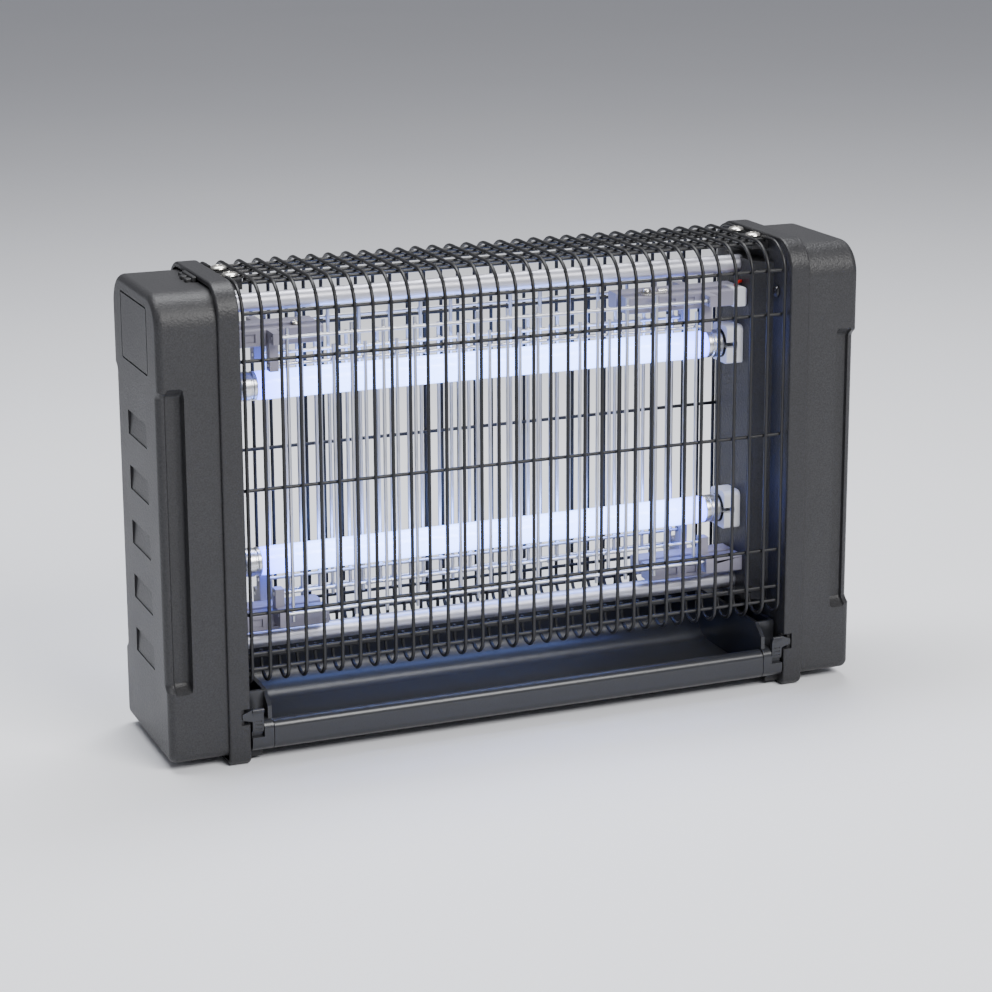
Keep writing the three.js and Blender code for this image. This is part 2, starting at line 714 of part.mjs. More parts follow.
// Front insulator block; the rear ones are its mirror image.
function insulator(isRight, isUpper) {
  const z0 = isUpper ? insulatorUpperZ : insulatorLowerZ;
  const z1 = z0 + insulatorHeight;
  const y1 = -insulatorNear;
  const y0 = y1 - insulatorDepth;
  const x1 = isRight ? padX - fit : -wallX + fit;
  const rightLength = isUpper ? insulatorUpperRightLength : insulatorLowerRightLength;
  const x0 = isRight ? x1 - rightLength : x1 + insulatorLeftLength;
  const block = cuboid(Math.min(x0, x1), Math.max(x0, x1), y0, y1, z0, z1);
  const side = isRight ? 1 : -1;
  const rodEnd = middleX + side * (gridSpan / 2 + gridRodReach);
  const clipX = rodEnd - side * fingerWidth / 2;
  const liveZ = isUpper ? liveTop - liveRodInset : liveBottom + liveRodInset;
  const returnZ = isUpper ? returnTop - returnRodInset : returnBottom + returnRodInset;
  const liveRodY = -liveY - (gridWire - rodOverlap);
  const returnRodY = -returnY + (gridWire - rodOverlap);
  const middleZ = (z0 + z1) / 2;
  const liveClip = rodClip(clipX, liveRodY, liveZ, y0 + 1, middleZ);
  const returnClip = rodClip(clipX, returnRodY, returnZ, y0 + 1, middleZ);
  return build([block, liveClip.body, returnClip.body], [liveClip.hole, returnClip.hole]);
}

for (const [side, isRight] of [['left', false], ['right', true]]) {
  for (const [level, isUpper] of [['upper', true], ['lower', false]]) {
    const block = insulator(isRight, isUpper);
    place(`insulator_front_${level}_${side}`, block, insulatorPlastic);
    place(`insulator_rear_${level}_${side}`, mirrored(block, 1, -1), insulatorPlastic);
  }
}

// ---------------------------------------------------------------- grid terminals

// Screw head and ring terminal on top of the front upper insulators.
function terminalScrew() {
  return rod('z', terminalScrewDiameter, 0, terminalScrewHeight, 0, 0, 12);
}

function ringTerminal() {
  const ring = rod('z', ringTerminalWidth, 0, ringTerminalThickness, 0, 0, 16);
  const tail = cuboid(0, ringTerminalTail, -1.5, 1.5, 0, ringTerminalThickness);
  return build([ring, tail]);
}

const terminalY = -insulatorNear - insulatorDepth / 2;
const blockTop = insulatorUpperZ + insulatorHeight + fit;
const terminalLeftX = -wallX + insulatorLeftLength - terminalScrewInset;
const terminalRightX = padX - insulatorUpperRightLength + terminalScrewInset;
place('terminal_screw_left', terminalScrew(), brightSteel)
  .position.set(terminalLeftX, terminalY, blockTop);
place('ring_terminal', ringTerminal(), brightSteel)
  .position.set(terminalRightX, terminalY, blockTop);
place('terminal_screw_right', terminalScrew(), brightSteel)
  .position.set(terminalRightX, terminalY, blockTop + ringTerminalThickness + fit);

// ---------------------------------------------------------------- tray

function trayOutline() {
  const lipY = -trayFront + trayLipRound;
  const curveY = trayRear - trayRearRadius;
  const curveZ = trayBottom + trayRearRadius;
  return [
    ...arc(curveY, curveZ, trayRearRadius, -90, 0, 5),
    [trayRear, trayRearTop],
    [trayRear - trayWall, trayRearTop],
    ...arc(curveY, curveZ, trayRearRadius - trayWall, 0, -90, 5),
    [-trayFront + trayLipDepth + 2, trayBottom + trayWall],
    [-trayFront + trayLipDepth, trayBottom + trayWall + 2],
    ...arc(lipY, trayLipTop - trayLipRound, trayLipRound, 0, 180, 4),
    ...arc(-trayFront + trayFootRound, trayBottom + trayFootRound, trayFootRound, 180, 270, 3),
  ];
}

function trayEndOutline() {
  const curveY = trayRear - trayRearRadius;
  const curveZ = trayBottom + trayRearRadius;
  return [
    ...arc(curveY, curveZ, trayRearRadius, -90, 0, 5),
    [trayRear, trayRearTop],
    [-trayFront + latchPocketDepth, trayRearTop],
    [-trayFront + 1, trayLipTop],
    [-trayFront + 1, trayBottom],
  ];
}

const trayEndOuter = wallX - trayGap;
const trayEndInner = trayEndOuter - trayEndWidth;

// Right tray end: a moulded plate with a pocket for the latch and the pin it turns on.
function trayEnd() {
  const plate = alongX(trayEndOutline(), trayEndInner, trayEndOuter);
  const pocket = cuboid(
    trayEndInner + trayEndWall, trayEndOuter + 1,
    -trayFront - 1, -trayFront + latchPocketDepth,
    trayBottom + trayEndWall, trayRearTop + 1,
  );
  const pin = rod('x', latchPinDiameter, trayEndInner + 1, trayEndOuter, -latchPivotY, latchPivotZ, 12);
  return build([build([plate], [pocket]), pin]);
}

// Right latch: a lever on the pin, with a hook that reaches into the frame notch.
function trayLatch() {
  const x0 = trayEndInner + trayEndWall + fit;
  const x1 = trayEndOuter - fit;
  const y0 = -latchFront;
  const y1 = y0 + latchThickness;
  const lever = cuboid(x0, x1, y0, y1, latchBottom, latchTop);
  const hook = cuboid(x1 - 1, wallX + latchHookReach, y0, y1, latchTop - latchHookHeight, latchTop);
  const boss = rod('x', latchBossDiameter, x0, x1, -latchPivotY, latchPivotZ, 16);
  const web = cuboid(x0, x1, y0 + 0.5, -latchPivotY, latchPivotZ - 2.4, latchPivotZ + 2.4);
  const bore = rod('x', latchPinDiameter + 2 * fit, x0 - 1, x1 + 1, -latchPivotY, latchPivotZ, 12);
  return build([lever, hook, boss, web], [bore]);
}

place('tray_pan', alongX(trayOutline(), -trayEndInner + fit, trayEndInner - fit), trayPlastic);
for (const [side, sx] of [['left', -1], ['right', 1]]) {
  place(`tray_end_${side}`, mirrored(trayEnd(), sx, 1), trayPlastic);
  place(`tray_latch_${side}`, mirrored(trayLatch(), sx, 1), trayPlastic);
}

// ---------------------------------------------------------------- electrics in the caps

// Box standing on the board of one cap, centred on (y, z).
function onBoard(side, [thick, deep, tall], y, z) {
  const near = wallBack + boardGap + boardThickness + fit;
  const box = cuboid(near, near + thick, y - deep / 2, y + deep / 2, z - tall / 2, z + tall / 2);
  return mirrored(box, side, 1);
}

function board(side) {
  const x0 = wallBack + boardGap;
  const plate = cuboid(x0, x0 + boardThickness, -boardHalf, boardHalf, boardFoot, boardTop);
  return mirrored(plate, side, 1);
}

function capacitor(side, y, z) {
  const near = wallBack + boardGap + boardThickness + fit;
  return mirrored(rod('x', capacitorDiameter, near, near + capacitorLength, y, z, 16), side, 1);
}

place('ballast_board', board(-1), boardGreen);
place('ballast_choke', onBoard(-1, chokeSize, 0, coilZ), copper);
place('ballast_capacitor', capacitor(-1, 0, capacitorZ), blackPlastic);
place('high_voltage_board', board(1), boardGreen);
place('high_voltage_transformer', onBoard(1, transformerSize, 0, coilZ), blackPlastic);
for (const [name, sign] of [['front', -1], ['rear', 1]]) {
  const y = sign * boardHalf / 2;
  place(`high_voltage_capacitor_${name}`, capacitor(1, y, capacitorZ), blackPlastic);
}
place('mains_terminal_block', onBoard(1, terminalSize, 0, terminalZ), whitePlastic);

// Cable gland through the rear of the right cap, and the nut that holds it inside.
function cableGland() {
  const face = capHalfDepth + fit;
  const inner = capHalfDepth - glandLength;
  return build([
    rod('y', glandFlangeDiameter, face, face + glandFlange, glandX, glandZ, 16),
    rod('y', glandNeck, inner, face + 0.5, glandX, glandZ, 16),
  ], [rod('y', glandBore, inner - 1, face + glandFlange + 1, glandX, glandZ, 12)]);
}

function glandNut() {
  const outer = capHalfDepth - notchDepth - shellWall - fit;
  const nut = rod('y', glandNutWidth, outer - glandNutThickness, outer, glandX, glandZ, 6);
  const bore = rod('y', glandNeck + 2 * fit, outer - glandNutThickness - 1, outer + 1, glandX, glandZ, 16);
  return build([nut], [bore]);
}

place('cable_gland', cableGland(), blackPlastic);
place('gland_nut', glandNut(), blackPlastic);

// ---------------------------------------------------------------- cap screws and snap peg

function capScrew(y, z) {
  const head = rod('x', capScrewHead, wallX - fit - capScrewHeadHeight, wallX - fit, y, z, 16);
  const shank = rod('x', capScrewDiameter, wallX - fit - 0.5, wallBack + capScrewLength - 1, y, z, 10);
  return build([head, shank]);
}

for (const [side, sx] of [['left', -1], ['right', 1]]) {
  for (const [level, [y, z]] of [['upper', capScrewPlaces[0]], ['lower', capScrewPlaces[1]]]) {
    place(`cap_screw_${level}_${side}`, mirrored(capScrew(y, z), sx, 1), brightSteel);
  }
}

// Peg that snaps the left cap's top to the frame.
const [pegFront, pegRear] = snapPegPlace;
place('snap_peg', cuboid(
  -seamX - snapPegWidth + fit, -seamX - 2 * fit, pegFront + fit, pegRear - fit,
  capTop - snapSlotDepth + fit, capTop + 1,
), framePlastic);

export default zapper;
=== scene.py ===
"""Electric bug zapper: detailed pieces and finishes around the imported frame.

Every sub-assembly is a class whose fields are its sizes in millimetres. Pieces are built in
millimetres in the frame's own axes (+X along the tubes, -Y front, +Z up), and are scaled to
metres when they are published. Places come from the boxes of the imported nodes.
"""

import sys
import logging
import math
from dataclasses import dataclass
from enum import Enum
from typing import Iterable, Sequence

import bmesh
import bpy
from mathutils import Matrix, Vector


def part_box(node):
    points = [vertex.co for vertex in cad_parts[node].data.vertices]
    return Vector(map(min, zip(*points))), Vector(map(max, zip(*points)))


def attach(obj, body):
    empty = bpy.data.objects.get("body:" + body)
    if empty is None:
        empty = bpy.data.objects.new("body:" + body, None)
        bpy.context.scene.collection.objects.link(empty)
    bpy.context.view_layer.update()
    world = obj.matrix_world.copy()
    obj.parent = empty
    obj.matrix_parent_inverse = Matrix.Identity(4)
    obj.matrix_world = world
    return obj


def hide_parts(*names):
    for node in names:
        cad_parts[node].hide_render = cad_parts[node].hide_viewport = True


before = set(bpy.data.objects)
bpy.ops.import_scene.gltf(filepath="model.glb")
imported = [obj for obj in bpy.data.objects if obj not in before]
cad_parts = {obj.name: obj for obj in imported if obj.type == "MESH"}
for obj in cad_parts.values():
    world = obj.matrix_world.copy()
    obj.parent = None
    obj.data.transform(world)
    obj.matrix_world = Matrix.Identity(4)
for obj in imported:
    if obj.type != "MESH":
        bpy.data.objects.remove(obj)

LOG = logging.getLogger("zapper")
MM = 0.001
FIT = 0.3

Point = tuple[float, float]
Ring = list[tuple[float, float, float]]
Colour = tuple[float, float, float]


class Named(Enum):
    """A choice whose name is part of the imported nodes' names."""

    @property
    def word(self) -> str:
        """The name as it stands in the node names."""
        return self.name.lower()


class Side(Named):
    """Left or right end of the unit, by the sign of X."""

    LEFT = -1
    RIGHT = 1


class Face(Named):
    """Front or rear of the unit, by the sign of Y."""

    FRONT = -1
    REAR = 1


class Level(Named):
    """Upper or lower row of tubes, bars and insulators."""

    UPPER = 1
    LOWER = -1


class Axis(Enum):
    """Direction that a turned shape or a rod runs in."""

    X = 0
    Y = 1
    Z = 2


def node_box(name: str) -> tuple[Vector, Vector]:
    """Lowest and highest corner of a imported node, in millimetres."""
    low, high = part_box(name)
    return low / MM, high / MM


def node_middle(name: str) -> Vector:
    """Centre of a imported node, in millimetres."""
    low, high = node_box(name)
    return (low + high) / 2


# ---------------------------------------------------------------- node trees


class Graph:
    """Adds nodes to a shader tree or a geometry tree."""

    def __init__(self, tree: bpy.types.NodeTree) -> None:
        """Keeps the tree that nodes are added to."""
        self.tree = tree

    def node(
        self,
        kind: str,
        settings: dict[str, object] | None = None,
        inputs: dict[str | int, object] | None = None,
        stops: Sequence[tuple[float, Colour]] = (),
    ) -> bpy.types.Node:
        """Adds one node.

        Args:
            kind: The node's type.
            settings: Properties of the node, set before its inputs.
            inputs: Values or links of its sockets, by name or index.
            stops: Positions and colours of a ramp.

        Returns:
            The new node.
        """
        made = self.tree.nodes.new(kind)
        for key, value in (settings or {}).items():
            setattr(made, key, value)
        for index, (position, colour) in enumerate(stops):
            elements = made.color_ramp.elements
            element = elements[index] if index < len(elements) else elements.new(position)
            element.position = position
            element.color = (*colour, 1.0)
        for key, value in (inputs or {}).items():
            source = value.source if isinstance(value, Term) else value
            if isinstance(source, bpy.types.NodeSocket):
                self.tree.links.new(source, made.inputs[key])
            else:
                made.inputs[key].default_value = source
        return made


class Term:
    """A socket in an expression: its operators add Math nodes to the tree."""

    def __init__(self, graph: Graph, source: bpy.types.NodeSocket) -> None:
        """Wraps a socket of the graph's tree."""
        self.graph = graph
        self.source = source

    def _math(self, operation: str, first: object, second: object = 0.0) -> "Term":
        """Adds a Math node and wraps its result."""
        settings = {"operation": operation}
        made = self.graph.node("ShaderNodeMath", settings, {0: first, 1: second})
        return Term(self.graph, made.outputs[0])

    def __add__(self, other: "Term | float") -> "Term":
        """Sum."""
        return self._math("ADD", self, other)

    def __sub__(self, other: "Term | float") -> "Term":
        """Difference."""
        return self._math("SUBTRACT", self, other)

    def __rsub__(self, other: float) -> "Term":
        """Difference from a number."""
        return self._math("SUBTRACT", other, self)

    def __mul__(self, other: "Term | float") -> "Term":
        """Product."""
        return self._math("MULTIPLY", self, other)

    def __pow__(self, other: float) -> "Term":
        """Power."""
        return self._math("POWER", self, other)

    def size(self) -> "Term":
        """Absolute value."""
        return self._math("ABSOLUTE", self)

    def above(self, edge: float) -> "Term":
        """One where the value is above the edge, and zero elsewhere."""
        return self._math("GREATER_THAN", self, edge)

    __radd__ = __add__
    __rmul__ = __mul__


class Surface(Graph):
    """A material under construction, on Object coordinates in metres."""

    def __init__(self, name: str) -> None:
        """Makes an empty material with an output node."""
        self.material = bpy.data.materials.new(name)
        self.material.use_nodes = True
        super().__init__(self.material.node_tree)
        self.tree.nodes.clear()
        self.output = self.node("ShaderNodeOutputMaterial")
        self.place = self.node("ShaderNodeTexCoord").outputs["Object"]

    def stretched(self, scale: tuple[float, float, float]) -> bpy.types.NodeSocket:
        """Object coordinates scaled along each axis."""
        inputs = {"Vector": self.place, "Scale": scale}
        return self.node("ShaderNodeMapping", None, inputs).outputs[0]

    def along(self, axis: Axis) -> Term:
        """Distance along one axis, in metres."""
        split = self.node("ShaderNodeSeparateXYZ", None, {0: self.place})
        return Term(self, split.outputs[axis.value])

    def noise(
        self, size: float, detail: float = 2.0, vector: bpy.types.NodeSocket | None = None
    ) -> Term:
        """Noise of a grain size.

        Args:
            size: Size of the grain in millimetres.
            detail: Octaves of finer noise.
            vector: Coordinates, if not the plain ones.

        Returns:
            The noise, about 0.5 on average.
        """
        inputs = {"Vector": vector or self.place, "Scale": 1.0 / (size * MM), "Detail": detail}
        return Term(self, self.node("ShaderNodeTexNoise", None, inputs).outputs[0])

    def cells(self, size: float) -> Term:
        """Distance to the nearest of scattered points, by spacing in millimetres."""
        inputs = {"Vector": self.place, "Scale": 1.0 / (size * MM)}
        return Term(self, self.node("ShaderNodeTexVoronoi", None, inputs).outputs["Distance"])

    def blend(self, factor: Term, first: Colour, second: Colour) -> bpy.types.NodeSocket:
        """Colour between two, by the factor."""
        inputs = {"Factor": factor, 6: (*first, 1.0), 7: (*second, 1.0)}
        settings = {"data_type": "RGBA", "clamp_factor": True}
        return self.node("ShaderNodeMix", settings, inputs).outputs[2]

    def relief(self, height: Term, depth: float) -> bpy.types.NodeSocket:
        """Normal of a surface that the height raises by up to a depth in millimetres."""
        inputs = {"Height": height, "Distance": depth * MM, "Strength": 1.0}
        return self.node("ShaderNodeBump", None, inputs).outputs[0]

    def principled(self, inputs: dict[str | int, object]) -> bpy.types.Material:
        """Closes the material with a Principled shader.

        Args:
            inputs: Values or links of the shader's sockets.

        Returns:
            The finished material.
        """
        shader = self.node("ShaderNodeBsdfPrincipled", None, inputs)
        self.tree.links.new(shader.outputs[0], self.output.inputs["Surface"])
        return self.material


@dataclass(frozen=True)
class MouldedPlastic:
    """Injection-moulded plastic with a spark-eroded grain.

    Attributes:
        grain: Size of the grain in millimetres.
        grain_depth: Depth of the grain in millimetres.
        contrast: How far the grain's tone goes from the colour, as a share of it.
        cloudy: How far the roughness drifts over large areas.
        shine: Specular level of the bare plastic.
    """

    name: str
    slot: str
    colour: Colour
    roughness: float
    grain: float = 0.8
    grain_depth: float = 0.22
    contrast: float = 0.42
    coat: float = 0.0
    cloudy: float = 0.1
    shine: float = 0.34

    def build(self) -> bpy.types.Material:
        """Makes the material."""
        surface = Surface(self.name)
        cloud = surface.noise(38.0, 3.0)
        grain = surface.noise(self.grain, 3.0)
        pits = surface.cells(self.grain * 1.7)
        light = tuple(c * (1 + self.contrast) + 0.003 for c in self.colour)
        dark = tuple(c * (1 - self.contrast) for c in self.colour)
        tone = cloud * 0.3 + (grain - 0.5) * 1.6 + 0.35
        height = grain * 0.7 + pits * 0.5
        return surface.principled({
            "Base Color": surface.blend(tone, dark, light),
            "Roughness": cloud * self.cloudy + grain * 0.1 + (self.roughness - 0.05 - self.cloudy / 2),
            "Normal": surface.relief(height, self.grain_depth),
            "Coat Weight": self.coat,
            "Coat Roughness": 0.22,
            "Specular IOR Level": self.shine,
        })


@dataclass(frozen=True)
class BrightMetal:
    """Bare or plated metal with drawing marks along one axis."""

    name: str
    slot: str
    colour: Colour
    roughness: float
    grain_axis: Axis
    streak: float = 0.35
    stain: float = 0.12

    def build(self) -> bpy.types.Material:
        """Makes the material."""
        surface = Surface(self.name)
        scale = [1.0, 1.0, 1.0]
        scale[self.grain_axis.value] = 0.03
        lines = surface.noise(self.streak, 3.0, surface.stretched(tuple(scale)))
        cloud = surface.noise(11.0, 3.0)
        dull = tuple(c * (1 - self.stain) for c in self.colour)
        return surface.principled({
            "Base Color": surface.blend(cloud * 0.6 + lines * 0.4, dull, self.colour),
            "Metallic": 1.0,
            "Roughness": lines * 0.18 + cloud * 0.12 + (self.roughness - 0.15),
            "Normal": surface.relief(lines, 0.012),
        })


@dataclass(frozen=True)
class CoatedWire:
    """Powder-coated steel with a slight orange peel and rubbed spots."""

    name: str
    slot: str
    colour: Colour
    roughness: float

    def build(self) -> bpy.types.Material:
        """Makes the material."""
        surface = Surface(self.name)
        peel = surface.noise(0.9, 2.0)
        cloud = surface.noise(16.0, 3.0)
        worn = tuple(c * 1.7 + 0.01 for c in self.colour)
        return surface.principled({
            "Base Color": surface.blend(cloud ** 2.0, self.colour, worn),
            "Roughness": peel * 0.16 + cloud * 0.1 + (self.roughness - 0.13),
            "Normal": surface.relief(peel, 0.03),
            "Specular IOR Level": 0.4,
        })


@dataclass(frozen=True)
class LitTube:
    """Fluorescent tube while it is lit: a bright middle that darkens to violet at the ends."""

    name: str
    slot: str
    middle: float
    half_length: float
    strength: float

    def build(self) -> bpy.types.Material:
        """Makes the material."""
        surface = Surface(self.name)
        reach = (surface.along(Axis.X) - self.middle * MM).size() * (1 / (self.half_length * MM))
        powder = surface.noise(1.3, 3.0)
        ends = reach ** 9.0
        glow = surface.blend(ends + powder * 0.06, (0.22, 0.37, 1.0), (0.06, 0.10, 0.95))
        return surface.principled({
            "Base Color": surface.blend(powder, (0.74, 0.79, 0.95), (0.83, 0.87, 1.0)),
            "Roughness": powder * 0.1 + 0.12,
            "Emission Color": glow,
            "Emission Strength": self.strength,
            "Coat Weight": 0.6,
            "Coat Roughness": 0.06,
        })


@dataclass(frozen=True)
class CircuitBoard:
    """Green solder mask with paler tracks."""

    name: str
    slot: str

    def build(self) -> bpy.types.Material:
        """Makes the material."""
        surface = Surface(self.name)
        tracks = surface.cells(7.0).above(0.42)
        weave = surface.noise(0.8, 2.0)
        return surface.principled({
            "Base Color": surface.blend(tracks * 0.6 + weave * 0.2, (0.02, 0.12, 0.05), (0.09, 0.28, 0.12)),
            "Roughness": weave * 0.2 + 0.3,
            "Normal": surface.relief(tracks, 0.03),
        })


@dataclass(frozen=True)
class Winding:
    """Enamelled copper wire wound in close turns."""

    name: str
    slot: str
    turn: float = 0.9

    def build(self) -> bpy.types.Material:
        """Makes the material."""
        surface = Surface(self.name)
        inputs = {"Vector": surface.place, "Scale": 0.314 / (self.turn * MM), "Distortion": 0.4}
        settings = {"bands_direction": "Z"}
        turns = Term(surface, surface.node("ShaderNodeTexWave", settings, inputs).outputs[1])
        return surface.principled({
            "Base Color": surface.blend(turns, (0.24, 0.07, 0.03), (0.62, 0.27, 0.12)),
            "Metallic": 0.9,
            "Roughness": turns * -0.15 + 0.42,
            "Normal": surface.relief(turns, 0.2),
        })


@dataclass(frozen=True)
class PaleFloor:
    """Matt seamless studio floor."""

    name: str
    colour: Colour

    def build(self) -> bpy.types.Material:
        """Makes the material."""
        surface = Surface(self.name)
        cloud = surface.noise(420.0, 2.0)
        darker = tuple(c * 0.97 for c in self.colour)
        return surface.principled({
            "Base Color": surface.blend(cloud, darker, self.colour),
            "Roughness": cloud * 0.1 + 0.55,
        })


Finish = MouldedPlastic | BrightMetal | CoatedWire | LitTube | CircuitBoard | Winding


class Palette:
    """The finishes of the unit, each made into a material when it is first used."""

    SHELL = MouldedPlastic("shell_plastic", "shell", (0.024, 0.024, 0.026), 0.45)
    FRAME = MouldedPlastic("frame_plastic", "frame", (0.021, 0.021, 0.023), 0.42)
    TRAY = MouldedPlastic("tray_plastic", "tray", (0.020, 0.021, 0.025), 0.3, grain=0.6,
                          grain_depth=0.02, contrast=0.15, coat=0.2, cloudy=0.03)
    GUARD = CoatedWire("guard_coating", "guard_coating", (0.006, 0.006, 0.007), 0.4)
    HOLDER = MouldedPlastic("holder_plastic", "lampholder", (0.74, 0.75, 0.80), 0.38, grain=0.4,
                            grain_depth=0.02, contrast=0.05)
    INSULATOR = MouldedPlastic("insulator_plastic", "insulator", (0.27, 0.26, 0.33), 0.42, grain=0.4,
                               grain_depth=0.02, contrast=0.06)
    BLACK = MouldedPlastic("black_plastic", "black_plastic", (0.018, 0.018, 0.020), 0.4)
    STEEL = BrightMetal("zinc_steel", "bright_steel", (0.74, 0.72, 0.67), 0.27, Axis.Z)
    DARK_STEEL = BrightMetal("black_zinc_steel", "bright_steel", (0.07, 0.07, 0.075), 0.34, Axis.Z)
    BASE = BrightMetal("base_aluminium", "tube_base", (0.80, 0.81, 0.84), 0.30, Axis.X)
    BAR = BrightMetal("bar_aluminium", "tie_bar", (0.66, 0.66, 0.74), 0.46, Axis.X)
    GRID = BrightMetal("grid_steel", "grid_steel", (0.66, 0.67, 0.72), 0.33, Axis.Z)
    LEAD = MouldedPlastic("lead_sleeve", "insulator", (0.45, 0.02, 0.015), 0.35, grain=0.6,
                          grain_depth=0.02)
    BOARD = CircuitBoard("circuit_board", "board")
    COPPER = Winding("copper_winding", "copper")

    _made: dict[str, bpy.types.Material] = {}

    @classmethod
    def material(cls, finish: Finish) -> bpy.types.Material:
        """The finish's material."""
        if finish.name not in cls._made:
            cls._made[finish.name] = finish.build()
        return cls._made[finish.name]


# ---------------------------------------------------------------- solids


def arc(centre: Point, radius: float, start: float, end: float, steps: int) -> list[Point]:
    """Points on an arc, by its angles in degrees, both ends included."""
    turns = (math.radians(start + (end - start) * i / steps) for i in range(steps + 1))
    return [(centre[0] + radius * math.cos(t), centre[1] + radius * math.sin(t)) for t in turns]


def rounded_box(low: Point, high: Point, radii: Sequence[float], steps: int = 8) -> list[Point]:
    """Outline of a rectangle with round corners.

    Args:
        low: Lowest corner.
        high: Highest corner.
        radii: Radii of the lower and the upper corners.
        steps: Segments of an upper corner.

    Returns:
        The points, counter-clockwise from the lower right corner.
    """
    (a0, b0), (a1, b1), (lower, upper) = low, high, radii
    return [
        *arc((a1 - lower, b0 + lower), lower, -90, 0, max(3, steps // 2)),
        *arc((a1 - upper, b1 - upper), upper, 0, 90, steps),
        *arc((a0 + upper, b1 - upper), upper, 90, 180, steps),
        *arc((a0 + lower, b0 + lower), lower, 180, 270, max(3, steps // 2)),
    ]


def rounding(radius: float, steps: int) -> list[Point]:
    """Steps round an edge, from its end face inwards: depth behind the face and inset."""
    angles = (math.pi / 2 * (1 - i / steps) for i in range(steps + 1))
    return [(radius * (1 - math.sin(a)), radius * (1 - math.cos(a))) for a in angles]


def ring(outline: Iterable[Point], axis: Axis, at: float) -> Ring:
    """Places an outline in the plane across an axis, at a distance along it."""
    orders = {
        Axis.X: lambda a, b: (at, a, b),
        Axis.Y: lambda a, b: (a, at, b),
        Axis.Z: lambda a, b: (a, b, at),
    }
    return [orders[axis](a, b) for a, b in outline]


